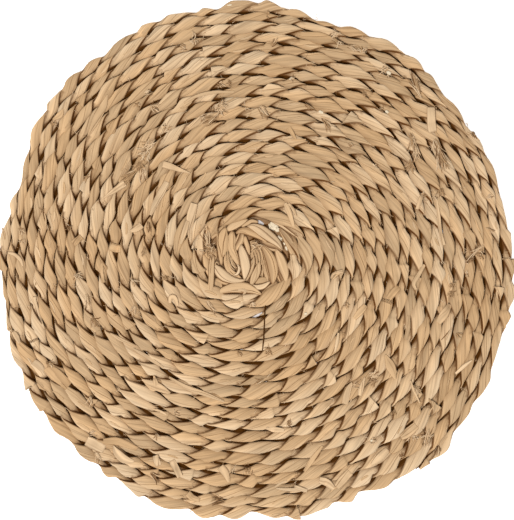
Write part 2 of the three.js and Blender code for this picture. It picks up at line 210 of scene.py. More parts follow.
# Loose ends, stubs and flaps of leaf on the coil. Places and widths are in pixels of the photograph. Lift is
# the height over the rope in millimetres, below 0 where the leaf goes in among its neighbours.
LOOSE_LEAVES = (
    # tone, warmth, ((x, y, width, lift), ...)
    (0.95, 0.5, ((431, 107.5, 8.6, 0.9), (431.2, 117, 8.8, 0.8), (432, 128, 9, 0.3), (434, 136, 8, -0.8))),
    (0.85, 0.5, (
        (163, 164.4, 7.4, 0.7), (170, 166.4, 7.2, 0.7), (178, 169.2, 4.6, 0.6), (190, 173.2, 1.2, 0.4),
    )),
    (0.9, 0.5, (
        (124.6, 183, 7.4, 0.5), (117.4, 188.4, 6.4, 0.6), (110, 193.6, 4, 0.5), (102.8, 198.4, 0.6, 0.2),
    )),
    (0.95, 0.35, ((167, 182, 5.5, 0.2), (161, 193, 7.5, 0.7), (155, 204, 6.2, 0.7), (150.5, 215, 3, 0.2))),
    (0.85, 0.5, ((141.5, 225, 7, 0.2), (136.5, 229, 6, 0.9), (130.5, 231.5, 2.4, 1.2))),
    (0.95, 0.45, (
        (194.3, 203.5, 7.6, 0.9), (190.8, 217, 8.6, 0.8), (189.4, 230, 6.2, 0.6), (190.6, 242, 1.8, 0),
    )),
    (0.9, 0.5, ((187.6, 221, 4.5, 0.6), (184, 233, 5.2, 0.6), (180.6, 244, 1.8, 0))),
    (0.8, 0.75, ((285.2, 203, 3.6, 0.6), (289, 212, 5.4, 1), (293.6, 226.5, 2.8, 0.4))),
    (0.8, 0.7, ((288.5, 203.5, 2.6, 0.4), (293, 209, 3, 0.9), (296.5, 216, 1.2, 0.5))),
    (0.6, 0.6, ((101.5, 262, 2.6, -0.2), (101.8, 272, 3.4, 0.5), (103.4, 282.6, 3.6, 0.6))),
    (1, 0.5, ((34.4, 297, 3.6, 1.1), (35.6, 303, 2.6, 1), (39, 315, 2.8, 0.6), (43.8, 328, 1.6, -0.1))),
    (0.9, 0.5, (
        (8.2, 252.8, 2.2, 0.4), (14.5, 254.6, 3.6, 0.7), (20.5, 260, 3.6, 0.6), (22.6, 266, 1.4, 0),
    )),
    (0.8, 0.4, ((184, 103, 1.2, 0.2), (197, 96, 3.2, 0.5), (214, 92.4, 3.4, 0.6), (234, 91.8, 1.4, 0.2))),
    (0.75, 0.75, ((107.5, 95, 1.5, 0), (103, 106, 7.5, 0.4), (96, 120, 8.2, 0.4), (88, 136, 2, -0.1))),
    (0.6, 0.6, ((63, 109.5, 2, 0.2), (60, 115, 6.6, 0.5), (52.8, 119.8, 2.4, 0.7))),
    (0.35, 0.9, ((288.5, 128, 5.5, 0.1), (292, 133, 4.4, 0.5), (296, 139.5, 2.2, 0.1))),
    (1.3, 0.3, ((249.6, 140.4, 0.9, 0.2), (256, 141, 1.5, 0.3), (262.6, 140.2, 0.9, 0.2))),
    (0.4, 0.85, ((73.2, 243.8, 6.4, 0.4), (77.4, 240.2, 7, 0.6), (81.6, 236.8, 6.4, 0.3))),
    (0.65, 0.7, ((110.4, 246.4, 8.4, 0.5), (115.4, 248.2, 8.8, 0.6), (120.6, 248.6, 8.2, 0.2))),
    (0.8, 0.3, (
        (169.8, 303, 3, 0.4), (170.6, 297.6, 4.6, 0.8), (174.4, 298, 5.2, 0.9), (177.4, 305.8, 3.4, 0.3),
    )),
    (0.85, 0.55, ((330.6, 278.6, 1.8, 0.5), (334, 273.6, 2.6, 0.8), (342.6, 271.2, 3.4, 0.8))),
    (0.7, 0.55, ((332.6, 279.4, 1.6, 0.2), (337.4, 274.6, 2, 0.5), (340.4, 272.4, 1.8, 0.4))),
    (1, 0.45, ((33, 362.2, 8, 0.9), (38.4, 367.4, 9.6, 0.8), (44.4, 378, 7.4, -0.3))),
    (0.45, 0.9, ((46.6, 367.4, 9.5, 0.3), (57, 376, 12.5, 0.6), (68.4, 386.4, 10.5, 0.1))),
    (1.05, 0.45, ((86.6, 440.6, 10.6, 1.2), (94, 444.2, 11.2, 1.1), (104.6, 449.4, 8.4, -0.2))),
    (0.45, 0.85, ((103.4, 441.4, 6, 0), (118, 441.6, 8.4, 0.5), (137, 449, 4.4, -0.1))),
    (0.95, 0.55, (
        (113.6, 445.8, 1.4, 0.8), (117.4, 453, 8.4, 0.9), (124.4, 459.2, 8.8, 0.6), (134, 461.6, 3, -0.1),
    )),
    (0.95, 0.5, ((155.4, 455.6, 6.2, 0.8), (156.6, 460.2, 6.6, 0.7), (158.6, 466, 6.2, -0.2))),
    (0.95, 0.45, ((180.2, 476.6, 6.2, 0.8), (176.2, 468.8, 7, 0.7), (171.6, 460.4, 6.6, -0.2))),
    (0.9, 0.45, ((133.4, 348.6, 1.6, 0.3), (148, 357.6, 4.4, 0.6), (163.4, 367.6, 1.8, 0.1))),
    (0.85, 0.6, ((110.4, 333.4, 1.6, 0.2), (121, 339.6, 3.6, 0.5), (134, 345, 1.4, 0.1))),
    (0.85, 0.6, (
        (142, 379.6, 1.8, 0.3), (151, 384, 7.2, 0.6), (160.6, 388.4, 8, 0.5), (170, 393.6, 2.6, -0.1),
    )),
    (0.8, 0.6, ((153.8, 375.4, 1.2, 0.6), (155.2, 381, 4.6, 0.9), (157, 388, 4, 0.4))),
    (0.85, 0.45, (
        (169, 377.4, 2.2, 0.5), (187, 387.6, 4.6, 0.7), (206, 394.4, 4.4, 0.6), (224, 401.6, 1.6, 0.1),
    )),
    (0.95, 0.5, ((266.4, 428.4, 2.2, 0.3), (275, 429.8, 6.2, 0.6), (284, 430.4, 3.6, 0.2))),
    (0.8, 0.35, ((220.4, 466.8, 7.8, 0.2), (225.6, 473.6, 7, 0.8), (228.8, 482, 2.6, 0.4))),
    (1.05, 0.4, ((276.4, 488.6, 1.4, 0.3), (287.4, 489.8, 3.4, 0.6), (299, 489.4, 2.8, 0.5))),
    (1.05, 0.5, ((294.6, 486.2, 3.4, 0.8), (301.4, 489, 4.4, 0.9), (307, 490.8, 3.4, 0.5))),
    (0.95, 0.5, ((319.6, 479.8, 6.4, 0.9), (327, 482.6, 8, 0.8), (334, 488.8, 4.4, 0.1))),
    (0.85, 0.45, ((336.4, 486.8, 6.2, 0.8), (342.4, 480.2, 9, 0.7), (350, 472, 8.2, -0.1))),
    (0.7, 0.6, ((187.6, 493.6, 7.2, 0.6), (192.6, 497.8, 6.4, 0.6), (200, 500, 4, -0.2))),
    (0.7, 0.7, ((322.6, 446.4, 2.2, 0.2), (314, 457.4, 5.4, 0.5), (304.6, 471.6, 3.2, 0.1))),
    (0.85, 0.4, (
        (345, 404, 6.4, 0.6), (346.6, 396, 6.8, 0.6), (349, 388.4, 5.4, 0.4), (352, 383, 2.2, 0.1),
    )),
    (0.9, 0.5, ((359.6, 395.6, 4, 0.1), (361.2, 388, 5.4, 0.5), (364.6, 377.6, 1.2, 0.3))),
    (0.6, 0.4, ((385.6, 355, 2, 0.1), (390.4, 366, 9.4, 0.4), (395.4, 379, 2.4, 0.1))),
    (0.85, 0.6, ((410.4, 380.6, 1.6, 0.6), (414, 391, 2.8, 0.8), (419.8, 403, 1.6, 0.3))),
    (1, 0.55, ((471.8, 360.4, 1.2, 0.5), (464, 366, 3.8, 0.8), (455.8, 373.6, 2.6, 0.2))),
    (0.75, 0.35, ((401, 437.4, 6, 0.8), (408, 432.8, 9.4, 0.8), (416.6, 425.4, 7.6, -0.1))),
    (0.95, 0.5, ((371.6, 464.6, 3, 0.5), (379.6, 458.4, 9.4, 0.8), (388.6, 450.6, 8.6, -0.1))),
    (0.85, 0.6, ((421.8, 193.2, 2.8, 1.1), (420.4, 199.4, 4.2, 1), (417.2, 209, 3.6, 0.1))),
    (0.9, 0.5, (
        (436.8, 200, 1.8, 0.1), (438.6, 216, 3.8, 0.5), (440.6, 232, 3.6, 0.6), (443.8, 245, 4, 0.9),
    )),
    (0.8, 0.35, (
        (424.4, 264.6, 3.8, 0.1), (418.6, 275, 4.4, 0.8), (413.8, 283.4, 4.2, 1), (416, 289.4, 2.6, 0.4),
    )),
    (0.5, 0.9, ((399, 287, 6.2, -0.1), (393.4, 292.6, 7.8, 0.5), (388.8, 298.6, 6.4, 0.8))),
    (0.8, 0.7, ((450, 304.6, 5, 0.2), (444.6, 313.6, 9, 0.6), (438.4, 323, 6, 0.2))),
    (0.1, 0.2, ((408.4, 316, 4, 0.1), (408.2, 328, 5, 0.5), (406, 340, 3.2, 0.1))),
    (0.65, 0.6, ((365.6, 305.4, 5, 0.2), (360, 312, 6.8, 0.6), (354.4, 318.6, 4, 0.2))),
    (1, 0.5, ((338.4, 333, 2, 0.1), (337, 342, 3.4, 0.4), (335, 352, 1.8, 0.1))),
    (0.9, 0.5, ((13, 331.6, 4, 0.3), (16, 336, 6, 0.7), (19.5, 343, 3, 0.1))),
)

# Frayed places: where each is and its spread in pixels, which way and how far its fibres go, how many there
# are and how they look.
TUFTS = (
    # x, y, spread, bearing, fan, length, count, look
    (192.5, 38.5, 2.4, -25, 75, 6.5, 14, "pale"),
    (185, 47, 2.4, 205, 40, 4.5, 9, "gold"),
    (332, 36, 3, 5, 40, 6, 14, "gold"),
    (338, 42, 2.6, -60, 40, 4.5, 8, "pale"),
    (290.5, 79, 1.6, 40, 70, 4.5, 8, "pale"),
    (220, 83.6, 3, -30, 40, 3.4, 9, "gold"),
    (229, 82, 3, -30, 40, 3.2, 8, "brown"),
    (220, 106.5, 3.6, -35, 80, 7, 26, "gold"),
    (213, 110, 1.6, 160, 60, 4, 7, "dark"),
    (260, 108, 2.6, -52, 22, 9.5, 16, "gold"),
    (267, 114.5, 1.8, -120, 60, 5, 7, "brown"),
    (214, 118, 3.4, 205, 18, 10.5, 9, "brown"),
    (206, 118, 3, 190, 45, 6, 9, "gold"),
    (267, 14.6, 1.8, 30, 60, 3.8, 7, "brown"),
    (272, 46, 1.8, 48, 20, 7.5, 7, "brown"),
    (323, 119, 1.8, -52, 14, 12, 8, "brown"),
    (146, 93.4, 1.8, 28, 30, 5.5, 7, "pale"),
    (152.5, 106, 2.4, -35, 70, 6.5, 14, "gold"),
    (138.5, 104, 2.2, 250, 50, 4.5, 9, "brown"),
    (164.5, 130, 2.4, 60, 50, 5.5, 9, "gold"),
    (153, 141, 4.4, 230, 28, 9, 22, "pale"),
    (147, 152, 4.2, 230, 55, 7.5, 26, "pale"),
    (140, 163, 3, 245, 40, 8, 12, "brown"),
    (53, 125, 1.6, 100, 60, 4, 9, "brown"),
    (128.6, 80.4, 1, 60, 70, 2.6, 5, "pale"),
    (134.5, 171.5, 2.2, 226, 14, 14, 14, "brown"),
    (143.5, 170, 4, 267, 9, 10, 12, "gold"),
    (89, 175.5, 2, 235, 20, 7, 6, "brown"),
    (22.6, 229, 1.8, 255, 60, 5, 9, "gold"),
    (23.4, 239, 1.8, 265, 60, 5, 10, "gold"),
    (68.4, 227, 1.8, 300, 80, 4.2, 12, "brown"),
    (77, 273.6, 1.8, -60, 85, 5.4, 15, "pale"),
    (131.6, 278.6, 2, -70, 50, 6, 10, "gold"),
    (165, 276, 2.2, 250, 80, 4.4, 12, "brown"),
    (86.6, 294.5, 1.6, 272, 12, 13, 7, "pale"),
    (92.6, 319, 2.8, -50, 40, 7, 12, "brown"),
    (135, 306, 1.6, 262, 22, 9, 9, "gold"),
    (148.6, 222, 1.8, 266, 20, 8, 10, "dark"),
    (144.6, 247, 1.4, 268, 12, 8.5, 6, "grey"),
    (128, 199, 1.2, 60, 60, 3.4, 5, "brown"),
    (362.4, 52.4, 2.4, 65, 80, 5.4, 16, "pale"),
    (349, 47.6, 3, -20, 18, 8, 8, "gold"),
    (384, 68.6, 2.8, -35, 80, 5.4, 15, "gold"),
    (388.6, 72.4, 1.6, -40, 50, 4, 6, "pale"),
    (421.4, 97.6, 1.2, 116, 9, 25, 9, "pale"),
    (420.4, 95, 1.4, 113, 12, 21, 9, "dark"),
    (419.4, 90, 1.8, 122, 18, 13, 8, "gold"),
    (383, 111, 1.8, 170, 70, 4, 8, "grey"),
    (363.4, 95.4, 1.2, 20, 60, 4.6, 6, "brown"),
    (410.4, 134.6, 2.2, -80, 17, 15, 14, "gold"),
    (411.4, 162, 2.4, 262, 26, 9, 12, "brown"),
    (436, 141, 2.4, -72, 11, 20, 12, "dark"),
    (434.4, 140, 2.4, -72, 14, 14, 9, "gold"),
    (472.6, 132.6, 1.6, -62, 16, 6, 7, "dark"),
    (352.6, 146.4, 1.6, 150, 60, 4.5, 7, "brown"),
    (374.6, 167.6, 1.6, 60, 70, 4, 7, "pale"),
    (421.4, 197, 1.6, 80, 60, 5, 9, "pale"),
    (433.4, 197.4, 1.6, 10, 70, 3.8, 7, "pale"),
    (441.4, 189, 1.8, 255, 40, 6.5, 10, "brown"),
    (488, 197.4, 1.4, 20, 70, 4, 6, "pale"),
    (486, 227.6, 0.6, -22, 6, 8.5, 2, "pale"),
    (484, 244.4, 0.8, 216, 4, 22, 3, "gold"),
    (479, 249, 2.2, 60, 85, 5, 12, "gold"),
    (480, 254, 2, -70, 80, 4.4, 9, "brown"),
    (469, 261.4, 2.2, 100, 85, 5.4, 16, "dark"),
    (467.6, 273.6, 1.2, 200, 80, 4.2, 5, "pale"),
    (452, 283, 1.6, -75, 60, 5, 12, "brown"),
    (451, 292, 1.6, -80, 60, 5, 9, "brown"),
    (452.6, 327, 0.6, 232, 6, 15, 2, "pale"),
    (347, 303, 1.8, -100, 60, 5, 8, "brown"),
    (457, 333.6, 1.2, -60, 60, 4.4, 6, "brown"),
    (48, 363, 2.6, -55, 60, 5.4, 14, "brown"),
    (90.4, 396, 1.8, 266, 16, 10, 7, "gold"),
    (91, 434, 2.2, 15, 30, 4, 9, "pale"),
    (95.6, 452, 1.8, -62, 26, 9, 12, "gold"),
    (151, 472.4, 2, -42, 16, 10, 8, "dark"),
    (175, 413.8, 2.4, 10, 60, 4.6, 9, "gold"),
    (156, 433.6, 1.4, -80, 40, 5, 6, "gold"),
    (238.4, 352.4, 1.8, -80, 70, 4, 9, "brown"),
    (269.4, 350.4, 2.4, 190, 70, 4.6, 10, "brown"),
    (262.6, 380, 1.8, 214, 24, 7, 10, "brown"),
    (288, 424, 2, 20, 60, 5, 9, "dark"),
    (236.4, 464.6, 0.5, 236, 5, 17, 2, "pale"),
    (248, 468, 4.4, 252, 18, 3.2, 22, "brown"),
    (224, 500, 2.4, 172, 14, 11, 10, "dark"),
    (372, 377, 3.4, 30, 24, 7, 12, "gold"),
    (353, 386, 3, 40, 30, 6, 9, "gold"),
    (375, 380, 2.6, 210, 34, 5.4, 8, "brown"),
    (416, 387, 2.8, -70, 30, 7, 9, "gold"),
    (426.4, 446, 2.4, 82, 22, 15, 8, "gold"),
    (421.4, 437, 2.8, 2, 30, 9, 6, "pale"),
    (424, 444, 2.8, 60, 30, 7, 6, "brown"),
    (413.6, 437.4, 1.8, -40, 60, 3.4, 9, "pale"),
    (371.6, 440.4, 2.4, 10, 70, 4, 12, "pale"),
    (394, 410, 1.6, 262, 30, 5, 7, "brown"),
    (400.4, 456.2, 1.4, 20, 50, 4.4, 6, "dark"),
    (438.6, 446.6, 0.9, 266, 10, 8, 5, "dark"),
    (9, 331, 2, 20, 60, 4.4, 9, "brown"),
    (305, 104, 1.6, -48, 16, 7, 6, "brown"),
    (414, 147, 2, -76, 14, 14, 12, "gold"),
    (439.6, 152, 2.4, -70, 14, 16, 12, "brown"),
    (437, 158, 2, -74, 12, 14, 6, "pale"),
    (209.5, 251.5, 4.2, 0, 180, 4.6, 44, "brown"),
    (210, 248.5, 3.6, 0, 180, 5, 12, "gold"),
    (208, 245, 1.6, 95, 18, 14, 8, "gold"),
    (207.6, 301, 1.4, -62, 14, 12, 7, "gold"),
    (252.4, 306, 2.2, 30, 70, 4, 10, "pale"),
    (255.4, 247, 2.6, 60, 60, 7, 12, "gold"),
)

# How fibres look.
FIBRE_LOOKS = {
    # tone, warmth, stain
    "pale": (1.3, 0.6, 0),
    "gold": (1.1, 0.66, 0),
    "brown": (0.5, 0.85, 0.35),
    "dark": (0.15, 0.7, 0.75),
    "grey": (0.5, 0, 0.2),
}

# Flakes of the stalk's white lining that show in the gaps, laid on the rope like loose leaves.
LINING = (
    # (x, y, width, lift), ...
    ((255, 221.6, 2, -0.2), (259, 222.4, 4.6, 0.2), (263.6, 224.4, 2.4, 0)),
    ((242, 237.2, 1.8, 0), (242.6, 240, 2.2, 0.1), (243.4, 243, 1, -0.1)),
    ((252.6, 317.4, 1, -0.1), (257, 315.6, 2.4, 0), (262.4, 312.8, 1.6, -0.1)),
)

# The sewing thread's loose end. Places are in pixels, heights in millimetres.
THREAD_END = (
    # x, y, height over the rope
    (265.6, 304.4, -0.6),
    (265, 309, 0.1),
    (264.4, 322, 0.1),
    (263.7, 338, 0.2),
    (262.4, 351, -0.4),
)

# Crumbs of pale pith. Places and sizes are in pixels.
PITH = (
    # x, y, width, depth, bearing
    (273.6, 226, 10, 8.5, -30),
    (277.6, 229.6, 5, 4.4, 20),
    (279.4, 238.2, 6.4, 4, -35),
    (284.8, 243.6, 3.4, 2.6, -60),
    (286.8, 248.2, 4.4, 3.4, -65),
    (321, 112, 5, 2.8, -20),
    (388.6, 72.6, 5, 3.4, -35),
    (387, 111.6, 4, 2.6, -40),
    (229.6, 4.8, 4.4, 1.6, 10),
    (305.6, 313.8, 3.4, 2.6, 40),
    (372, 440.6, 4, 2.8, 20),
    (381, 459.6, 3.4, 2, 30),
    (291, 78.4, 4, 2.2, 40),
)


class RopeSizes(bpy.types.PropertyGroup):
    """Sizes of the coil and of the rope that it is made of."""

    pitch: FloatProperty(
        name="Pitch", description="From one turn of the coil to the next", default=6.41 * MM, unit="LENGTH",
    )
    turns: FloatProperty(
        name="Turns", description="From the eye's middle to the rope's cut end", default=24.1,
    )
    end_bearing: FloatProperty(
        name="Cut end", description="Bearing of the rope's cut end, anticlockwise from +X", default=-52.0,
    )
    end_taper: FloatProperty(
        name="End taper", description="How much narrower the rope is at its cut end", default=2.2 * MM,
        unit="LENGTH",
    )
    fold: FloatProperty(
        name="Fold", description="Half the width of the folded end in the eye", default=2.6 * MM,
        unit="LENGTH",
    )
    height: FloatProperty(
        name="Height", description="Thickness of the rope as it lies", default=6.4 * MM, unit="LENGTH",
    )
    lay: FloatProperty(
        name="Lay", description="Length of rope in which a ply goes once round", default=36.8 * MM,
        unit="LENGTH",
    )
    seam_width: FloatProperty(
        name="Seam width", description="Width of the sewing line between two turns", default=3.0 * MM,
        unit="LENGTH",
    )
    thread_width: FloatProperty(
        name="Thread", description="Width of the sewing thread", default=0.8 * MM, unit="LENGTH",
    )
    # Colour of the dark strip in the gaps between turns, which is painted shade there, and of the sewing
    # thread.
    seam_shade_and_thread_colour: FloatVectorProperty(
        name="Seam colour", description="Colour down in the seam", subtype="COLOR", size=3,
        default=(0.070, 0.025, 0.004),
    )
    seed: IntProperty(name="Seed", description="Seed of all that is uneven in the rope", default=7)


class LeafColours(bpy.types.PropertyGroup):
    """Colours of the dried leaf, as it looks in even daylight."""

    straw: FloatVectorProperty(
        name="Straw", description="Most of the leaf", subtype="COLOR", size=3, default=(0.66, 0.425, 0.222),
    )
    # Cream is also the colour that the painted highlight along each lens's upper outer edge turns to.
    cream_and_highlight: FloatVectorProperty(
        name="Cream", description="The palest leaf", subtype="COLOR", size=3, default=(0.74, 0.535, 0.33),
    )
    grey: FloatVectorProperty(
        name="Grey", description="Weathered leaf", subtype="COLOR", size=3, default=(0.58, 0.41, 0.24),
    )
    russet: FloatVectorProperty(
        name="Russet", description="Ripened leaf", subtype="COLOR", size=3, default=(0.65, 0.385, 0.175),
    )
    pith: FloatVectorProperty(
        name="Pith", description="Crumbs from inside the stalk", subtype="COLOR", size=3,
        default=(0.82, 0.68, 0.48),
    )
    lining: FloatVectorProperty(
        name="Lining", description="White inside of the stalk", subtype="COLOR", size=3,
        default=(0.60, 0.55, 0.53),
    )
    # The dark brown of the painted shade in grooves, gaps and crevices. It is also the real colour of the
    # leaf's veins, the pith's pores and the dark fibres.
    shade_and_stain: FloatVectorProperty(
        name="Groove", description="Stained leaf down in the grooves", subtype="COLOR", size=3,
        default=(0.125, 0.044, 0.006),
    )


class StageLook(bpy.types.PropertyGroup):
    """Floor, light and camera."""

    floor: FloatVectorProperty(
        name="Floor", description="Colour of the floor", subtype="COLOR", size=3, default=(0.9, 0.9, 0.9),
    )
    floor_glow: FloatProperty(
        name="Floor glow", description="Light that the floor gives by itself", default=0.75,
    )
    sky: FloatProperty(name="Sky", description="Strength of the even light from all round", default=0.43)
    key: FloatProperty(
        name="Key", description="Power of the large soft light", default=80.0, unit="POWER",
    )
    camera_height: FloatProperty(
        name="Camera height", description="Height of the camera over the floor", default=1.5, unit="LENGTH",
    )


def spot(px, py):
    """The place on the mat, in metres, under a pixel of the photograph."""
    return np.array([
        CAD_MIDDLE[0] + (px - PHOTO_WIDTH / 2) * METRES_PER_PIXEL,
        CAD_MIDDLE[1] - (py - PHOTO_HEIGHT / 2) * METRES_PER_PIXEL,
    ])


def placed(rows, *units):
    """Rows of a place in pixels and further numbers, in metres: each further number by its unit."""
    return [(*spot(x, y), *(number * unit for number, unit in zip(rest, units))) for x, y, *rest in rows]


def smoothstep(x):
    """Eases from 0 to 1 as x goes from 0 to 1."""
    t = np.clip(x, 0.0, 1.0)
    return t * t * (3 - 2 * t)


def run_length(path):
    """The length of a path up to each of its points."""
    return np.concatenate([[0], np.cumsum(np.linalg.norm(np.diff(path, axis=0), axis=1))])


def unit_rows(vectors):
    """The same vectors, one to a row, each with a length of 1."""
    return vectors / np.maximum(np.linalg.norm(vectors, axis=1), 1e-9)[:, None]


def spline(points, count):
    """A smooth line through the rows of points, each row's numbers eased alike."""
    points = np.asarray(points, dtype=float)
    padded = np.vstack([2 * points[0] - points[1], points, 2 * points[-1] - points[-2]])
    steps = np.linalg.norm(np.diff(points[:, :2], axis=0), axis=1)
    knots = np.concatenate([[0], np.cumsum(steps)])
    at = np.linspace(0, knots[-1], count)
    k = np.clip(np.searchsorted(knots, at, side="right") - 1, 0, len(points) - 2)
    t = ((at - knots[k]) / steps[k])[:, None]
    a, b, c, d = (padded[k + i] for i in range(4))
    square, cube = 2 * a - 5 * b + 4 * c - d, 3 * b - a - 3 * c + d
    return 0.5 * (2 * b + (c - a) * t + square * t ** 2 + cube * t ** 3)


def ease_along(values, times):
    """Evens out a line of numbers, its ends kept."""
    for _ in range(times):
        inner = (values[:-2] + 2 * values[1:-1] + values[2:]) / 4
        values = np.concatenate([values[:1], inner, values[-1:]])
    return values


def rest_on(values, reach=2, times=4):
    """The line on which something stiff lies over a line of heights."""
    padded = np.pad(values, reach, "edge")
    highest = np.max([padded[k:k + len(values)] for k in range(2 * reach + 1)], axis=0)
    return ease_along(highest, times)


def cell_value(values, x, width):
    """The random number of the cell that x is in, eased over a width where one cell meets the next."""
    k = np.floor(x).astype(int)
    ease = smoothstep((x - k - 0.5 + width / 2) / width)
    return values[k % len(values)] * (1 - ease) + values[(k + 1) % len(values)] * ease


class Wander:
    """A smooth random line: one random number for each knot, eased between."""

    def __init__(self, rng, length, spacing):
        self.spacing = spacing
        self.values = rng.uniform(-1, 1, int(length / spacing) + 4)

    def __call__(self, at):
        x = np.asarray(at) / self.spacing
        k = np.floor(x).astype(int)
        ease = smoothstep(x - k)
        return self.values[k] * (1 - ease) + self.values[k + 1] * ease


class Coil:
    """The spiral that the rope follows. Turns are counted from the eye's middle outwards."""

    RIM_FADE = 9.0  # the power by which the last turns take the outline's unevenness
    EYE = (-3.65 * MM, 1.9 * MM)  # the eye lies a little off the middle of the outline
    EYE_FADE = 2.4  # the power by which the turns come round to the outline's middle
    EYE_OVAL = 2.6 * MM  # how much further out a turn runs on the oval's long axis
    EYE_OVAL_BEARING = 10.0
    EYE_OVAL_FROM = 12.0 * MM  # the radius at which the oval is full
    TAPER_TURN = 0.06  # the rope narrows over this part of its last turn
    FINE_STEPS = 20000  # the spiral is measured in so many steps

    def __init__(self, sizes):
        self.sizes = sizes
        self.middle = spot(*COIL_PIXEL)
        self.rows = np.array(EDGE_ROWS + ((EDGE_ROWS[0][0] + 360, EDGE_ROWS[0][1]),))

    def bearing(self, turn):
        return self.sizes.end_bearing + 360 * (self.sizes.turns - turn)

    def edge_out(self, bearing):
        """How far the mat's outline lies outside an even spiral at those bearings."""
        first = self.rows[0, 0]
        wrapped = first + np.mod(bearing - first, 360)
        row = np.clip(np.searchsorted(self.rows[:, 0], wrapped, side="right") - 1, 0, len(self.rows) - 2)
        low, high = self.rows[row], self.rows[row + 1]
        ease = smoothstep((wrapped - low[:, 0]) / (high[:, 0] - low[:, 0]))
        return (low[:, 1] * (1 - ease) + high[:, 1] * ease) * MM

    def edge(self, turn):
        """Radius of the rope's outer edge, which is also the inner edge one turn later."""
        rim_share = np.power(np.maximum(turn, 0) / self.sizes.turns, self.RIM_FADE)
        even = self.sizes.pitch * turn + self.sizes.fold * (1 - rim_share)
        taper = self.sizes.end_taper * smoothstep(1 - (self.sizes.turns - turn) / self.TAPER_TURN)
        return even + self.edge_out(self.bearing(turn)) * rim_share - taper

    def place(self, turn, side):
        """Points at those turns, in metres: side -1 is the rope's inner edge and 1 its outer one."""
        inner, outer = self.edge(turn - 1), self.edge(turn)
        radius = inner + (outer - inner) * (side + 1) / 2
        bearing = np.radians(self.bearing(turn))
        rim_share = radius / (self.sizes.pitch * self.sizes.turns)
        oval = self.EYE_OVAL * np.maximum(0, 1 - rim_share) * smoothstep(radius / self.EYE_OVAL_FROM)
        drawn_out = radius + oval * np.cos(2 * (bearing - math.radians(self.EYE_OVAL_BEARING)))
        eye_share = np.maximum(0, 1 - np.power(rim_share, self.EYE_FADE))
        return np.stack([
            self.middle[0] + self.EYE[0] * eye_share + drawn_out * np.cos(bearing),
            self.middle[1] + self.EYE[1] * eye_share + drawn_out * np.sin(bearing),
        ], axis=1)

    def sample(self, first_turn, last_turn, step):
        """Turns at even steps along the rope, and the length of rope up to each from the first."""
        fine = np.linspace(first_turn, last_turn, self.FINE_STEPS)
        length = run_length(self.place(fine, 0.0))
        count = max(2, int(round(length[-1] / step)))
        even = np.linspace(0, length[-1], count + 1)
        return np.interp(even, length, fine), even


def build_object(name, points, faces, material, uv=None, leaf=None):
    """A piece of the mat from arrays. uv and leaf are given for each point."""
    mesh = bpy.data.meshes.new(name)
    mesh.from_pydata(points.tolist(), [], faces)
    mesh.update()
    loops = np.empty(len(mesh.loops), dtype=np.int32)
    mesh.loops.foreach_get("vertex_index", loops)
    if uv is not None:
        layer = mesh.uv_layers.new(name="leaf_run")
        layer.uv.foreach_set("vector", uv[loops].astype(np.float32).ravel())
    if leaf is not None:
        layer = mesh.attributes.new("leaf", "FLOAT_COLOR", "POINT")
        layer.data.foreach_set("color", leaf.astype(np.float32).ravel())
    mesh.polygons.foreach_set("use_smooth", np.ones(len(mesh.polygons), dtype=bool))
    mesh.materials.append(material)
    piece = bpy.data.objects.new(name, mesh)
    bpy.context.scene.collection.objects.link(piece)
    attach(piece, BODY)
    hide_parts(MAT_NODE)
    return piece


def mark_creases(mesh, columns, creases):
    """Makes the edges sharp that run along a tube in those of its columns."""
    ends = np.empty(len(mesh.edges) * 2, dtype=np.int32)
    mesh.edges.foreach_get("vertices", ends)
    ends = ends.reshape(-1, 2) % columns
    sharp = (ends[:, 0] == ends[:, 1]) & np.isin(ends[:, 0], creases)
    layer = mesh.attributes.new("sharp_edge", "BOOLEAN", "EDGE")
    layer.data.foreach_set("value", sharp)


def tube_faces(rows, columns, offset):
    """Quads round a tube of sections, and one face on each end."""
    i = np.arange(rows - 1)[:, None] * columns
    j = np.arange(columns)[None, :]
    k = (j + 1) % columns
    quads = np.stack([i + j, i + k, i + columns + k, i + columns + j], axis=-1).reshape(-1, 4) + offset
    start = (np.arange(columns)[::-1] + offset).tolist()
    end = (np.arange(columns) + offset + (rows - 1) * columns).tolist()
    return quads.tolist() + [start, end]


class Nodes:
    """Adds nodes to a tree and links them by name."""

    def __init__(self, tree):
        self.tree = tree

    def set(self, node, values):
        """Links or sets the node's inputs."""
        for key, value in values.items():
            if isinstance(value, bpy.types.NodeSocket):
                self.tree.links.new(value, node.inputs[key])
            else:
                node.inputs[key].default_value = value

    def add(self, kind, values=None, **settings):
        node = self.tree.nodes.new(kind)
        for key, value in settings.items():
            setattr(node, key, value)
        self.set(node, values or {})
        return node

    def math(self, operation, a, b=0.0):
        return self.add("ShaderNodeMath", {0: a, 1: b}, operation=operation).outputs[0]

    def mix(self, factor, a, b, blend="MIX"):
        node = self.add("ShaderNodeMix", {0: factor, 6: a, 7: b}, data_type="RGBA", blend_type=blend)
        return node.outputs[2]

    def ramp(self, value, low, high, to_low=0.0, to_high=1.0):
        return self.add("ShaderNodeMapRange", {0: value, 1: low, 2: high, 3: to_low, 4: to_high}).outputs[0]

    def shade(self, colour, value):
        """The colour made lighter or darker by a value."""
        grey = self.add("ShaderNodeCombineColor", {0: value, 1: value, 2: value}).outputs[0]
        return self.mix(1.0, colour, grey, "MULTIPLY")

    def noise(self, place, scale, detail):
        """Noise over a place that is first stretched by a scale."""
        stretched = self.add("ShaderNodeMapping", {"Vector": place, "Scale": scale}).outputs[0]
        node = self.add("ShaderNodeTexNoise", {"Vector": stretched, "Scale": 1.0, "Detail": detail})
        return node.outputs[0]

    def random(self, number):
        """A random number for each whole number."""
        return self.add("ShaderNodeTexWhiteNoise", {"W": number}, noise_dimensions="1D").outputs[0]

    def bump(self, height, strength, distance):
        node = self.add("ShaderNodeBump", {"Height": height, "Strength": strength, "Distance": distance})
        return node.outputs[0]


def rgba(colour, share=1.0):
    """The colour for a socket, darker or lighter by a share."""
    return (*[share * part for part in colour], 1.0)


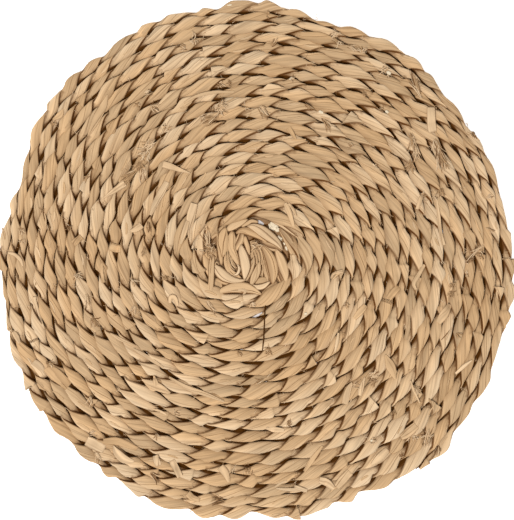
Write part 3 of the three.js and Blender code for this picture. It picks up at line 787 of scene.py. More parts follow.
def new_group(name, inputs, outputs):
    """An empty shader node group with those inputs, as (name, kind, default), and outputs of numbers."""
    group = bpy.data.node_groups.new(name, "ShaderNodeTree")
    for socket_name, kind, default in inputs:
        socket = group.interface.new_socket(socket_name, in_out="INPUT", socket_type=kind)
        if default is not None:
            socket.default_value = default
    for socket_name in outputs:
        group.interface.new_socket(socket_name, in_out="OUTPUT", socket_type="NodeSocketFloat")
    return group


# Noise seldom leaves this range, which the finishes stretch to their own.
NOISE_RANGE = (0.3, 0.7)


def leaf_grain_group():
    """Fine lines that run along a leaf, with a few strong ones, from its run in metres."""
    made = bpy.data.node_groups.get("Leaf grain")
    if made:
        return made
    group = new_group("Leaf grain", [("Run", "NodeSocketVector", None)], ["Lines", "Veins", "Blotches"])
    n = Nodes(group)
    run = n.add("NodeGroupInput").outputs["Run"]
    veins = n.noise(run, (14.0, 560.0, 1.0), 1.0)
    n.add("NodeGroupOutput", {
        "Lines": n.noise(run, (20.0, 950.0, 1.0), 3.0),
        "Veins": n.ramp(veins, 0.58, 0.72),
        "Blotches": n.noise(run, (60.0, 220.0, 1.0), 3.0),
    })
    return group


def leaf_edge_group():
    """Edges of the leaf strips that a ply is made of: a dark line of painted shade under each edge, the step
    in height and a random number.
    """
    group = new_group(
        "Leaf edges",
        [("Run", "NodeSocketVector", None), ("Strip width", "NodeSocketFloat", 4.3 * MM)],
        ["Line", "Step", "Strip"],
    )
    n = Nodes(group)
    inside = n.add("NodeGroupInput")
    along, across, _ = n.add("ShaderNodeSeparateXYZ", {0: inside.outputs["Run"]}).outputs
    drift = n.add(
        "ShaderNodeTexNoise", {"W": n.math("MULTIPLY", along, 18.0), "Scale": 1.0, "Detail": 1.0},
        noise_dimensions="1D",
    )
    strips = n.math("DIVIDE", across, inside.outputs["Strip width"])
    at = n.math("ADD", strips, n.math("MULTIPLY", drift.outputs[0], 2.0))
    inside_strip = n.math("FRACT", at)
    faint = n.ramp(n.random(n.math("FLOOR", n.math("ADD", at, 40.0))), 0.2, 0.75, 0.1, 1.0)
    n.add("NodeGroupOutput", {
        "Line": n.math("MULTIPLY", n.ramp(inside_strip, 0.05, 0.09, 1.0, 0.0), faint),
        "Step": inside_strip,
        "Strip": n.random(n.math("FLOOR", at)),
    })
    return group


def new_material(name):
    """A material, what adds nodes to it, and its shader."""
    material = bpy.data.materials.new(name)
    material.use_nodes = True
    return material, Nodes(material.node_tree), material.node_tree.nodes["Principled BSDF"]


def add_grain(n):
    """The run along the leaf and the grain's node, in a material."""
    run = n.add("ShaderNodeUVMap", uv_map="leaf_run").outputs[0]
    return run, n.add("ShaderNodeGroup", {"Run": run}, node_tree=leaf_grain_group()).outputs


def leaf_material(colours):
    """Dried leaf, made the first time that it is asked for."""
    made = bpy.data.materials.get("rope_leaf")
    if made:
        return made
    material, n, shader = new_material("rope_leaf")
    run, grain = add_grain(n)
    strips = n.add("ShaderNodeGroup", {"Run": run}, node_tree=leaf_edge_group()).outputs
    leaf = n.add("ShaderNodeAttribute", attribute_name="leaf")
    tone, warmth, shade_and_stain = n.add("ShaderNodeSeparateColor", {0: leaf.outputs["Color"]}).outputs

    # Warmth runs from grey over straw to russet, and the palest leaf, with the painted highlight along the
    # lenses' outer edges, turns to cream.
    warm = n.mix(n.ramp(warmth, 0.55, 1.0, 0.0, 0.38), rgba(colours.straw), rgba(colours.russet))
    hue = n.mix(n.ramp(warmth, 0.45, 0.0, 0.0, 0.42), warm, rgba(colours.grey))
    pale = n.mix(n.ramp(tone, 0.64, 1.18), hue, rgba(colours.cream_and_highlight))
    toned = n.shade(pale, n.ramp(tone, 0.0, 0.8, 0.8, 0.985))

    # Grain, veins, blotches and each strip's own shade.
    lined = n.shade(toned, n.ramp(grain["Lines"], *NOISE_RANGE, 0.8, 1.1))
    veined = n.mix(n.math("MULTIPLY", grain["Veins"], 0.36), lined, rgba(colours.shade_and_stain))
    blotched = n.shade(veined, n.ramp(grain["Blotches"], *NOISE_RANGE, 0.88, 1.08))
    stripped = n.shade(blotched, n.ramp(strips["Strip"], 0.0, 1.0, 0.91, 1.045))

    # Painted shade in the grooves, beside the other ply and along the strips' edges, with the real stain of
    # dark fibres.
    stain_and_shade = n.math("MAXIMUM", n.ramp(shade_and_stain, 0.06, 0.96), n.math("MULTIPLY", strips["Line"], 0.75))
    base = n.mix(stain_and_shade, stripped, rgba(colours.shade_and_stain))
    height = n.math("ADD", grain["Lines"], n.math("MULTIPLY", grain["Veins"], -0.6))
    height = n.math("ADD", height, n.math("MULTIPLY", strips["Step"], 1.125))
    n.set(shader, {
        "Base Color": base,
        "Roughness": n.ramp(grain["Lines"], *NOISE_RANGE, 0.62, 0.8),
        "Specular IOR Level": 0.2,
        "Normal": n.bump(height, 0.25, 0.3 * MM),
    })
    return material


def fibre_material(name, colour):
    """Matt fibre of one colour, with fine darker lines along it."""
    material, n, shader = new_material(name)
    _, grain = add_grain(n)
    n.set(shader, {
        "Base Color": n.mix(n.ramp(grain["Lines"], *NOISE_RANGE), rgba(colour, 0.75), rgba(colour, 1.15)),
        "Roughness": 0.85,
        "Specular IOR Level": 0.0,
        "Normal": n.bump(grain["Lines"], 0.3, 0.3 * MM),
    })
    return material


def pith_material(colours):
    """Spongy pale pith with dark pores."""
    material, n, shader = new_material("pith")
    place = n.add("ShaderNodeTexCoord").outputs["Object"]
    sponge = n.add("ShaderNodeTexNoise", {"Vector": place, "Scale": 900.0, "Detail": 3.0}).outputs[0]
    pores = n.add("ShaderNodeTexVoronoi", {"Vector": place, "Scale": 700.0}).outputs[0]
    pale = n.mix(n.ramp(sponge, 0.35, 0.65), rgba(colours.pith, 0.8), rgba(colours.pith))
    n.set(shader, {
        "Base Color": n.mix(n.ramp(pores, 0.10, 0.26, 0.8, 0.0), pale, rgba(colours.shade_and_stain)),
        "Roughness": 0.9,
        "Specular IOR Level": 0.1,
        "Normal": n.bump(sponge, 0.6, 0.4 * MM),
    })
    return material


class RopeTop:
    """Feels for the upper side of the rope, or of other pieces, from above."""

    START = 30 * MM
    BESIDE = 3 * MM  # height that is taken where no rope is below

    def __init__(self, context, names=("rope_turns",)):
        context.view_layer.update()
        self.pieces = [piece for piece in context.scene.objects if piece.name.startswith(names)]
        if not self.pieces:
            raise RuntimeError("the rope is coiled before anything is laid on it")

    def height(self, x, y):
        hits = (piece.ray_cast((x, y, self.START), (0, 0, -1)) for piece in self.pieces)
        return max((place.z for found, place, _, _ in hits if found), default=self.BESIDE)

    def heights(self, places):
        return np.array([self.height(x, y) for x, y in places])


class LeafHeap:
    """Collects leaf strips and fibres into the arrays of one mesh."""

    LOWEST = 0.2 * MM  # no strip goes lower over the table
    EDGE_TURN = 2.8  # how far round a strip its leaf edge may lie, in radians, either way
    EDGE_DRIFT = 0.8  # how far the edge may go round along the strip
    BUMPS = 3  # how many waves make a strip's section uneven
    BUMP_HEIGHT = 0.03
    LEAF_ROUND = 15  # width of the leaf that a strip is rolled from, in millimetres
    LOW_FADE = 0.75  # share of the half thickness over which painted shade darkens a strip downwards
    END_SHARE = 0.10  # share of a strip's length that is darkened at each end
    RIM_FROM, RIM_FADE = 0.8, 0.15  # from where, in half widths, a strip's sides get painted shade, a dark outline
    SHARP_ANGLE = math.radians(38)

    # A strip that is laid on the rope.
    FELT_SHARE = 0.35  # how far to each side the rope below is felt, in widths
    STEEPEST = 0.5
    SLOPE_SHARE = 0.7  # how much of the slope below a strip takes
    TUCK_FROM, TUCK_DEPTH = 0.1 * MM, 0.5 * MM  # lift below which a strip gets painted shade where it goes in among its neighbours, and over how much
    TUCK_SHADE = 0.8

    # A fibre, and how it is laid on the rope.
    TIP = 0.35  # width at a fibre's ends, in shares of its full width
    FLATNESS = 0.55
    FIBRE_ROWS = 6
    FIBRE_LIFT = 0.12 * MM
    FIBRE_ARCH = 0.7  # share of a whole arch that a rising fibre makes

    def __init__(self, seed):
        self.rng = np.random.default_rng(seed)
        self.points, self.runs, self.values, self.faces = [], [], [], []
        self.offset = 0

    def tube(self, middle, half_width, half_thick, tone, warmth, columns=16, step=0.06, squareness=2.8,
             slope=0.0, stain_and_shade=0.0, line=0.8, rim=0.0, ends=0.5, low_from=0.25):
        """A strip with a rounded section round a middle line, one leaf edge along it.

        Step is the edge's height, in shares of the half width. The stain darkens the whole strip: painted
        shade on tucked strips and on the dark outlines under the eye's strips, the real colour of dark
        fibres. Line and rim are painted shade along its leaf edge and its sides, and ends darkens its ends.
        Below low_from, in half thicknesses, painted shade darkens it downwards.
        """
        rng = self.rng
        rows = len(middle)
        ahead = unit_rows(np.gradient(middle, axis=0))
        across = unit_rows(np.stack([ahead[:, 1], -ahead[:, 0], np.broadcast_to(slope, rows)], axis=1))
        up = np.cross(across, ahead)
        length = run_length(middle)
        share = length / length[-1]
        first = rng.uniform(-self.EDGE_TURN, self.EDGE_TURN)
        first = first + rng.uniform(-self.EDGE_DRIFT, self.EDGE_DRIFT) * (share - 0.5)
        around = np.linspace(0, 1, columns)
        beta = first[:, None] + 2 * np.pi * around[None, :]
        bumps = sum(
            rng.uniform(0.0, self.BUMP_HEIGHT)
            * np.cos((k + 2) * beta + rng.uniform(0, 6) + rng.uniform(-2, 2) * share[:, None])
            for k in range(self.BUMPS)
        )
        swell = 1 + step * (0.5 - around)[None, :] + bumps
        cosine, sine = np.cos(beta), np.sin(beta)
        power = 2 / squareness
        p = np.broadcast_to(half_thick, rows)[:, None] * swell * np.sign(cosine) * np.abs(cosine) ** power
        q = np.broadcast_to(half_width, rows)[:, None] * swell * np.sign(sine) * np.abs(sine) ** power
        points = middle[:, None, :] + p[:, :, None] * up[:, None, :] + q[:, :, None] * across[:, None, :]
        points[:, :, 2] = np.maximum(points[:, :, 2], self.LOWEST)
        run = np.stack([
            np.broadcast_to(length[:, None] + rng.uniform(0, 9), beta.shape),
            np.broadcast_to(around[None, :] * self.LEAF_ROUND * MM, beta.shape) + rng.uniform(0, 3),
        ], axis=-1)

        # Painted shade: a dark line under the leaf edge, a darker underside and dark sides as an outline. The
        # stain is painted shade on tucked strips and real colour on dark fibres. The ends are darkened.
        edge = np.zeros(columns)
        edge[-1], edge[-2] = line, 0.4 * line
        stains_and_shades = (
            smoothstep((low_from - cosine) / self.LOW_FADE) * min(1.0, 1.25 * line),
            edge[None, :],
            ends * smoothstep(1 - np.minimum(share, 1 - share) / self.END_SHARE)[:, None],
            rim * smoothstep((np.abs(sine) - self.RIM_FROM) / self.RIM_FADE),
            np.reshape(stain_and_shade, (-1, 1)),
        )
        shade_and_stain = np.zeros(beta.shape)
        for part in stains_and_shades:
            shade_and_stain = np.maximum(shade_and_stain, part)
        self.add(points, run, tone, warmth, shade_and_stain)

    def add(self, points, run, tone, warmth, shade_and_stain):
        """Takes in a tube's points, the leaf's run, and its tone, warmth and darkening: painted shade, and
        the real stain of dark fibres.
        """
        rows, columns = shade_and_stain.shape
        full = np.ones_like(shade_and_stain)
        self.faces += tube_faces(rows, columns, self.offset)
        self.offset += rows * columns
        self.points.append(points.reshape(-1, 3))
        self.runs.append(run.reshape(-1, 2))
        self.values.append(np.stack([tone * full, warmth * full, shade_and_stain, full], axis=-1).reshape(-1, 4))

    def fibre(self, middle, width, tone, warmth, stain_and_shade=0.0, columns=6):
        """A thin fibre or a shred of leaf, flat in section."""
        share = np.linspace(0, 1, len(middle))
        half = width / 2 * (self.TIP + (1 - self.TIP) * np.sin(np.pi * share) ** 0.5)
        self.tube(middle, half, half * self.FLATNESS, tone, warmth, columns=columns, step=0.0, squareness=2.0,
                  stain_and_shade=stain_and_shade, line=0.0, ends=0.0)

    def lay_strip(self, top, line, tone, warmth, thick):
        """A flat strip of leaf laid on the rope. The line's rows are x, y, width and lift, in metres."""
        places, width, lift = line[:, :2], line[:, 2], line[:, 3]
        ahead = unit_rows(np.gradient(places, axis=0))
        aside = np.stack([ahead[:, 1], -ahead[:, 0]], axis=1) * width[:, None] * self.FELT_SHARE
        middle, right, left = (top.heights(places + side * aside) for side in (0, 1, -1))
        bed = rest_on(np.maximum(middle, (left + right) / 2), 1)
        steepness = (right - left) / (2 * self.FELT_SHARE * width)
        slope = ease_along(np.clip(steepness, -self.STEEPEST, self.STEEPEST), 4) * self.SLOPE_SHARE
        # Painted shade where the strip goes in among its neighbours, along its sides and along its leaf edge.
        tucked = smoothstep((self.TUCK_FROM - lift) / self.TUCK_DEPTH)
        self.tube(np.column_stack([places, bed + lift]), width / 2, thick / 2, tone, warmth, columns=14,
                  step=0.0, squareness=3.4, slope=slope, stain_and_shade=self.TUCK_SHADE * tucked, line=0.3, rim=0.6,
                  ends=0.0)

    def lay_fibre(self, top, place, bearing, length, width, rise, look, curl=55):
        """A fibre laid on the rope from a place, in metres, curled at random by up to that many degrees."""
        rng = self.rng
        share = np.linspace(0, 1, self.FIBRE_ROWS)
        turn = np.radians(bearing + rng.uniform(-curl, curl) * share)
        steps = np.column_stack([np.cos(turn), np.sin(turn)]) * length / (self.FIBRE_ROWS - 1)
        places = place + np.concatenate([[[0, 0]], np.cumsum(steps[:-1], axis=0)])
        bed = rest_on(top.heights(places), 1)
        arch = rise * np.sin(self.FIBRE_ARCH * np.pi * share)
        tone, warmth, stain_and_shade = FIBRE_LOOKS[look]
        tone = tone * rng.uniform(0.7, 1.1)
        stain_and_shade = stain_and_shade * rng.uniform(0.6, 1.2)
        middle = np.column_stack([places, bed + self.FIBRE_LIFT + arch])
        self.fibre(middle, width, tone, warmth, stain_and_shade, columns=4)

    def piece(self, name, material):
        points, runs, values = (np.concatenate(parts) for parts in (self.points, self.runs, self.values))
        return build_object(name, points, self.faces, material, runs, values)

    def build(self, name, material):
        self.piece(name, material).data.set_sharp_from_angle(angle=self.SHARP_ANGLE)


class RopeMaker:
    """Works out the skin of both plies along the coil.

    A ply goes over the rope's outer side from stage 0 to 1, lies below from 1 to 2, comes up at the inner
    side from 2 to 3 and lies on top from 3 to 4. The other ply is two stages away, half a turn round the
    rope.
    """

    # Two corners of a ply's section by stage, in shares of the rope's half width and half height. The two
    # lower corners are these two, half a turn round the rope.
    TOP_INNER = (
        # stage, across, up
        (0, -1.12, 0.86), (0.45, -0.14, 0.97), (0.82, 0.68, 0.86), (1, 0.74, 0.34), (1.3, 0.5, 0.1),
        (1.6, -0.9, 0), (2, -0.66, 0), (2.5, -0.62, 0.12), (2.95, -0.80, 0.50), (3.4, -1.12, 0.78),
        (3.7, -1.20, 0.82),
    )
    TOP_OUTER = (
        # stage, across, up
        (0, 1.24, 0.86), (0.5, 1.10, 0.78), (0.82, 0.88, 0.60), (1, 0.74, 0.14), (1.5, 0.88, 0),
        (2, 0.5, 0.1), (2.5, 0.42, 0.44), (3, 0.58, 0.64), (3.35, 0.92, 0.84), (3.7, 1.16, 0.90),
    )
    # The section between its corners, anticlockwise from the lower inner one, how much painted shade each
    # point has down its sides, and how much paler than the rest it is, a painted highlight along the upper
    # outer edge.
    OUTLINE = (
        # across, up, painted shade, painted highlight
        (-0.92, -0.86, 0.12, 0), (-0.62, -1.00, 0, 0), (0.00, -1.04, 0, 0), (0.62, -1.00, 0, 0),
        (0.92, -0.86, 0.12, 0), (1.00, -0.56, 0.4, 0), (1.00, 0.00, 0.9, 0), (1.00, 0.56, 0.4, 0.1),
        (0.92, 0.86, 0.12, 0.35), (0.62, 1.00, 0, 0.2), (0.00, 1.04, 0, 0), (-0.62, 1.00, 0, 0),
        (-0.92, 0.86, 0.12, 0), (-1.00, 0.56, 0.4, 0), (-1.00, 0.00, 0.9, 0), (-1.00, -0.56, 0.4, 0),
    )
    CREASES = (2, 10)  # points of the outline that are sharp
    FIRST_TURN = 1.0
    SAMPLE_STEP = 0.5 * MM

    # Where the plies cross.
    CROSSING = 0.28  # length of a crossing, in shares of the lay
    CROSSING_SPREAD = (0.62, 1.38)
    CROSSING_STEPS, OPEN_STEPS = 7, 6
    SPARE = 2  # crossings that are counted before the rope starts
    SLIP = 0.20  # how far crossings slip along the rope together, in shares of the lay
    SLIP_LENGTH = 80 * MM
    SLIP_EACH = 2.7  # how far each slips by itself, in millimetres

    # How much the rope wanders, and over what length of it.
    GIRTH = (0.07, 60 * MM)
    SWAY = (0.40 * MM, 21 * MM)
    RIM_SWAY, RIM_SWAY_LENGTH = 2.6, 22 * MM  # the first in millimetres
    RISE = (0.2 * MM, 33 * MM)
    ROW_WANDER = (0.19, 26 * MM)
    FACET = (1.0, 18 * MM)

    # How single lenses of a ply differ, in shares of the rope's half width and half height.
    TILT, PLUMP = 0.20, 0.20
    NOTCH_STAGE, NOTCH_SPAN = 3.0, 0.3  # where two lenses meet, and over how many stages
    OUTER_WEDGE, INNER_WEDGE, WEDGE_BACK = 0.42, 0.36, 0.10  # how far their corners are drawn out there
    BULGE_FROM, BULGE_LEAST, BULGE_MORE = 0.97, 0.2, 1.7  # how much of what lies past the rope's side is kept
    CREASE_RISE, CREASE_MORE, CREASE_BACK, CREASE_SWAY = 0.08, 1.4, 0.4, 0.25
    FACET_HEIGHT, FACET_TURN = 0.018, 1.7

    # How the turns are packed.
    ROW_ZIGZAG = 1.6
    RIM_BULGE = 1.5
    RIM_EASE = 2
    PACK_REACH = 6
    FULLNESS = 1.025
    LOW_CLEAR = 0.35 * MM  # below this height a ply flattens out over the table
    RIM_STEP = 0.05  # the last turn's bulges grow over this part of a turn
    EYE_TURN = 3.85  # from here outwards the rope has its full height
    EYE_STEP = 0.1
    EYE_SINK = 0.42

    # The leaf's grain, and the painted shade on the skin.
    GRAIN_LEAN = 0.42  # how far the leaf's grain goes outwards for each length along the rope
    GRAIN_SPREAD = 0.24
    RUN_STRETCH = 1.1
    PLY_RUN, PLY_GRAIN = 3.1, 0.5  # how far apart the plies' runs are, so that they don't look alike
    PAST_CROSSING = 0.1  # stages past a crossing over which it still gets painted shade
    COVER_WIDTH = 0.55  # width of the painted shade beside the other ply
    RISING_TO, RISING_OVER = 3.05, 0.75  # stages by which a rising ply is free of painted shade, and over which that shade fades
    # Painted shade where a ply comes up from under the other.
    RISING_LEAST, RISING_MORE = 0.20, 0.56
    # Painted shade on each lens's inner side, next to the turn within.
    INNER_SHADE, INNER_FROM, INNER_WIDTH = 0.38, 0.25, 0.8
    LINE_LEAST, LINE_MORE = 0.5, 0.6  # darkness of the painted shadow line along a crossing
    SIDE, CORNER = 0.8, -0.3  # how far across and up the points lie that get the painted shadow line
    DEPTH = 0.42  # the skin gets painted shade below this height over the rope's middle
    OPEN_SIDE_LESS_SHADE = 0.75  # how much less painted shade the rim's open side has
    # Painted shade on the rope where it sinks under the eye's strips.
    SUNK_SHADE = 1.6

    def __init__(self, sizes):
        self.sizes = sizes
        self.coil = Coil(sizes)
        self.outline = np.array(self.OUTLINE)
        rng = np.random.default_rng(sizes.seed)
        turn, length = self.coil.sample(self.FIRST_TURN, sizes.turns, self.SAMPLE_STEP)
        total = length[-1]
        half_lay = sizes.lay / 2
        count = int(total / half_lay) + 3 * self.SPARE
        start = (np.arange(count) - self.SPARE) * half_lay
        slip = Wander(rng, total + 4 * self.SPARE * half_lay, self.SLIP_LENGTH)
        together = self.SLIP * sizes.lay * slip(start + 2 * self.SPARE * half_lay)
        start += together + rng.uniform(-1, 1, count) * self.SLIP_EACH * MM
        end = start + self.CROSSING * sizes.lay * rng.uniform(*self.CROSSING_SPREAD, count)
        knots = np.stack([start, end], axis=1).ravel()
        crossing = np.arange(self.CROSSING_STEPS) / self.CROSSING_STEPS
        open_part = 1 + np.arange(self.OPEN_STEPS) / self.OPEN_STEPS
        stage = (2 * np.arange(count)[:, None] + np.concatenate([crossing, open_part])[None, :]).ravel()
        at = np.interp(stage, np.arange(len(knots)), knots)
        inside = (at > 0) & (at < total)
        self.stage, self.length = stage[inside], at[inside]
        self.turn = np.interp(self.length, length, turn)

        def wander(amount, reach):
            return amount * Wander(rng, total, reach)(self.length)

        self.girth, self.sway = wander(*self.GIRTH), wander(*self.SWAY)
        self.rim_sway, self.rise = wander(1.0, self.RIM_SWAY_LENGTH), wander(*self.RISE)
        self.row_wander = wander(*self.ROW_WANDER)
        self.cells = rng.uniform(0, 1, (2, 10, count))
        self.facets = [[wander(*self.FACET) for _ in range(4)] for _ in range(2)]
        self.drifts = [self.grain_drift(ply) for ply in range(2)]
        self.sections = [self.section(ply) for ply in range(2)]
        self.pack_rows()

    def cell(self, ply, k, width=0.06):
        """Random number k of the stretch of ply that shows between two crossings."""
        return cell_value(self.cells[ply, k], (self.stage + 2 * ply - 1.5) / 4 + 0.5, width)

    def grain_drift(self, ply):
        """How far the ply's grain has gone outwards by each sample."""
        lean = self.GRAIN_LEAN + self.GRAIN_SPREAD * (self.cell(ply, 3) - 0.5)
        return np.concatenate([[0], np.cumsum(lean[1:] * np.diff(self.length))])

    @staticmethod
    def track(rows, stage):
        """Across and up coordinates of a corner at those stages."""
        rows = np.array(rows + ((4.0,) + rows[0][1:],))
        wrapped = np.mod(stage, 4)
        return np.stack([np.interp(wrapped, rows[:, 0], rows[:, k]) for k in (1, 2)], axis=1)

    def corners(self, ply, stage):
        """The corners of the ply's section at each sample, anticlockwise from the lower inner one."""
        top_inner, top_outer = self.track(self.TOP_INNER, stage), self.track(self.TOP_OUTER, stage)
        low_outer, low_inner = -self.track(self.TOP_INNER, stage + 2), -self.track(self.TOP_OUTER, stage + 2)
        tilt = self.TILT * (self.cell(ply, 0) - 0.5)
        plump = 1 + self.PLUMP * (self.cell(ply, 1) - 0.5)
        top_inner[:, 1] = top_inner[:, 1] * plump + tilt
        top_outer[:, 1] = top_outer[:, 1] * plump - tilt
        notch = np.exp(-((np.mod(stage, 4) - self.NOTCH_STAGE) / self.NOTCH_SPAN) ** 2)
        top_outer[:, 0] += notch * (self.OUTER_WEDGE * self.cell(ply, 5) - self.WEDGE_BACK)
        top_inner[:, 0] -= notch * (self.INNER_WEDGE * self.cell(ply, 7) - self.WEDGE_BACK)
        bulge = self.BULGE_LEAST + self.BULGE_MORE * self.cell(ply, 2)
        corners = (low_inner, low_outer, top_outer, top_inner)
        for corner in corners:
            beyond = np.abs(corner[:, 0]) - self.BULGE_FROM
            corner[:, 0] += np.sign(corner[:, 0]) * beyond * (bulge - 1) * (beyond > 0)
        return corners

    def section(self, ply):
        """Across and up coordinates of the ply's section at each sample, and the painted shade on its skin.
        """
        stage = self.stage + 2 * ply
        outer, top = ((self.outline[None, :, k] + 1) / 2 for k in (0, 1))
        shares = ((1 - outer) * (1 - top), outer * (1 - top), outer * top, (1 - outer) * top)
        points = sum(
            share[:, :, None] * corner[:, None, :] for share, corner in zip(shares, self.corners(ply, stage))
        )
        across, up = points[:, :, 0], points[:, :, 1]
        for k, crease in enumerate(self.CREASES):
            rise = self.CREASE_RISE * (self.cell(ply, 3) * self.CREASE_MORE - self.CREASE_BACK)
            up[:, crease] += np.sign(self.outline[crease, 1]) * rise
            across[:, crease] += self.CREASE_SWAY * self.facets[ply][k]
        around = 2 * np.pi * np.arange(len(self.outline)) / len(self.outline)
        for k, facet in enumerate(self.facets[ply]):
            wave = np.cos((k + 2) * around + self.FACET_TURN * k)
            up += self.FACET_HEIGHT * facet[:, None] * wave[None, :]
        return {"across": across, "up": up, "stain_and_shade": self.stain_and_shade(ply, stage, across)}

    def stain_and_shade(self, ply, stage, across):
        """Painted shade beside the other ply, where the skin rises, on its inner side and along the
        crossings' edges.
        """
        x, y, stain_and_shade = (self.outline[None, :, k] for k in (0, 1, 2))
        upper = y > 0
        phase = np.mod(stage, 4)[:, None]
        sinking = (phase > 0) & (phase < 1 + self.PAST_CROSSING)
        rising = (phase > 2) & (phase < 3 + self.PAST_CROSSING)
        lid = self.track(self.TOP_INNER, stage + 2)[:, :1]
        under_lid = smoothstep((across - lid + self.COVER_WIDTH) / self.COVER_WIDTH) * rising
        over_floor = smoothstep((-lid - across + self.COVER_WIDTH) / self.COVER_WIDTH) * sinking
        coming_up = (self.RISING_LEAST + self.RISING_MORE * self.cell(ply, 8))[:, None]
        coming_up = coming_up * smoothstep((self.RISING_TO - phase) / self.RISING_OVER) * (phase > 2)
        stain_and_shade = np.maximum(stain_and_shade, np.where(upper, np.maximum(under_lid, coming_up), over_floor))
        inner_shade = smoothstep((-self.INNER_FROM - across) / self.INNER_WIDTH) * upper
        stain_and_shade = np.maximum(stain_and_shade, self.INNER_SHADE * inner_shade)
        darkness = (self.LINE_LEAST + self.LINE_MORE * self.cell(ply, 9))[:, None]
        for side, crossing in ((-1, sinking), (1, rising)):
            edge = (x * side > self.SIDE) & (y * side < self.CORNER)
            stain_and_shade = np.maximum(stain_and_shade, crossing * edge * darkness)
        return stain_and_shade

    def pack_rows(self):
        """Shifts the line where two turns meet to the side on which the rope is slimmer."""
        across = np.concatenate([section["across"] for section in self.sections], axis=1)
        outer, inner = across.max(axis=1), -across.min(axis=1)
        self.bulge = ease_along(outer, self.RIM_EASE) - outer.mean()
        steps = np.arange(-self.PACK_REACH, self.PACK_REACH + 1)
        near = np.exp(-0.5 * (steps / (self.PACK_REACH / 2)) ** 2)
        outer, inner = (
            np.convolve(np.pad(width, self.PACK_REACH, "edge"), near / near.sum(), "valid")
            for width in (outer, inner)
        )
        turn = self.turn
        shift_in = self.ROW_ZIGZAG * (np.interp(turn - 1, turn, outer) - inner) / 2
        shift_in += np.interp(turn - 1, turn, self.row_wander)
        shift_out = self.ROW_ZIGZAG * (outer - np.interp(turn + 1, turn, inner)) / 2 + self.row_wander
        shift_in = np.where(turn - 1 >= self.FIRST_TURN, shift_in, 0.0)
        self.shifts = shift_in, np.where(turn + 1 <= turn[-1], shift_out, 0.0)

    def skin(self, ply, part):
        """Points, run, tone with its painted highlight, warmth and painted shade of one ply over a slice of
        the samples.
        """
        sizes = self.sizes
        turn = self.turn[part]
        across, up, stain_and_shade = (self.sections[ply][key][part] for key in ("across", "up", "stain_and_shade"))
        shift_in, shift_out = (shift[part][:, None] for shift in self.shifts)
        outer_share = np.clip((across + 1) / 2, 0, 1)
        across = across + shift_in * (1 - outer_share) + shift_out * outer_share
        at_rim = smoothstep((turn - sizes.turns + 1) / self.RIM_STEP)[:, None]
        across = self.FULLNESS * across + at_rim * outer_share * self.RIM_BULGE * self.bulge[part][:, None]

        centre = self.coil.place(turn, 0.0)
        side = self.coil.place(turn, 1.0) - self.coil.place(turn, -1.0)
        half_width = np.linalg.norm(side, axis=1) / 2
        outward = side / (2 * half_width)[:, None]
        girth = 1 + self.girth[part][:, None]
        sunk = self.EYE_SINK * (1 - smoothstep((turn - self.EYE_TURN) / self.EYE_STEP))[:, None]
        half_height = sizes.height / 2
        out = across * half_width[:, None] * girth + self.sway[part][:, None]
        out = out + at_rim * outer_share * self.RIM_SWAY * MM * self.rim_sway[part][:, None]
        height = half_height + self.rise[part][:, None] + up * half_height * girth
        low = self.LOW_CLEAR
        points = np.empty(across.shape + (3,))
        points[:, :, :2] = centre[:, None, :] + out[:, :, None] * outward[:, None, :]
        points[:, :, 2] = np.where(height > low, height, low * np.exp((height - low) / low)) * (1 - sunk)

        down_side = self.outline[None, :, 0] * (sizes.height - points[:, :, 2])
        grain = out + down_side - self.drifts[ply][part][:, None] + self.PLY_GRAIN * ply
        along = self.length[part][:, None] * self.RUN_STRETCH + self.PLY_RUN * ply
        run = np.stack([np.broadcast_to(along, grain.shape), grain], axis=-1)
        # Painted shade: the skin darkens low over the rope's middle, less on the rim's open side, and where
        # it sinks under the eye. The outline's pale points add a painted highlight to the tone.
        at_open_side = at_rim * (self.outline[None, :, 0] > self.SIDE)
        depth = smoothstep((self.DEPTH - up) / self.DEPTH)
        shade_and_stain = np.maximum(stain_and_shade, depth) * (1 - self.OPEN_SIDE_LESS_SHADE * at_open_side)
        tone = self.cell(ply, 4)[part][:, None] + self.outline[None, :, 3]
        warmth = self.cell(ply, 6)[part][:, None]
        return points, run, tone, warmth, np.maximum(shade_and_stain, self.SUNK_SHADE * sunk)

    def build(self, name, low_turn, high_turn, material):
        """One piece of the coil, from one turn to another."""
        low, high = np.searchsorted(self.turn, [low_turn, high_turn])
        part = slice(max(0, low - 1), min(len(self.turn), high + 1))
        heap = LeafHeap(self.sizes.seed)
        for ply in range(2):
            heap.add(*self.skin(ply, part))
        piece = heap.piece(name, material)
        mark_creases(piece.data, len(self.outline), self.CREASES)


class TRIVET_OT_rope(bpy.types.Operator):
    """Coil the two-ply rope"""

    bl_idname = "trivet.rope"
    bl_label = "Coiled rope"

    BOUNDS = (1.0, 13.0, 18.0, 21.4, 24.2)  # turns at which one piece of the coil ends and the next starts

    def execute(self, context):
        maker = RopeMaker(context.scene.rope_sizes)
        material = leaf_material(context.scene.leaf_colours)
        for low, high in zip(self.BOUNDS, self.BOUNDS[1:]):
            maker.build(f"rope_turns_{round(low)}_to_{round(high)}", low, high, material)
        return {"FINISHED"}


class TRIVET_OT_seam(bpy.types.Operator):
    """Run the sewing line between the turns, a dark strip that is also painted shade down in the gap"""

    bl_idname = "trivet.seam"
    bl_label = "Seam"

    FIRST_TURN = 1.2
    STEP = 4 * MM
    HEIGHT, HALF_THICK = 2.3 * MM, 0.8 * MM

    def execute(self, context):
        sizes = context.scene.rope_sizes
        coil = Coil(sizes)
        turn, _ = coil.sample(self.FIRST_TURN, sizes.turns - 1.0, self.STEP)
        path = coil.place(turn, 1.0)
        middle = np.column_stack([path, np.full(len(path), self.HEIGHT)])
        heap = LeafHeap(sizes.seed + 2)
        # A dark strip where two turns meet: the sewing line, and painted shade down in the gap.
        heap.tube(
            middle, sizes.seam_width / 2, self.HALF_THICK, 0.0, 0.7, columns=6, step=0.0, squareness=2.0,
        )
        heap.build("seam", fibre_material("seam_thread", sizes.seam_shade_and_thread_colour))
        return {"FINISHED"}


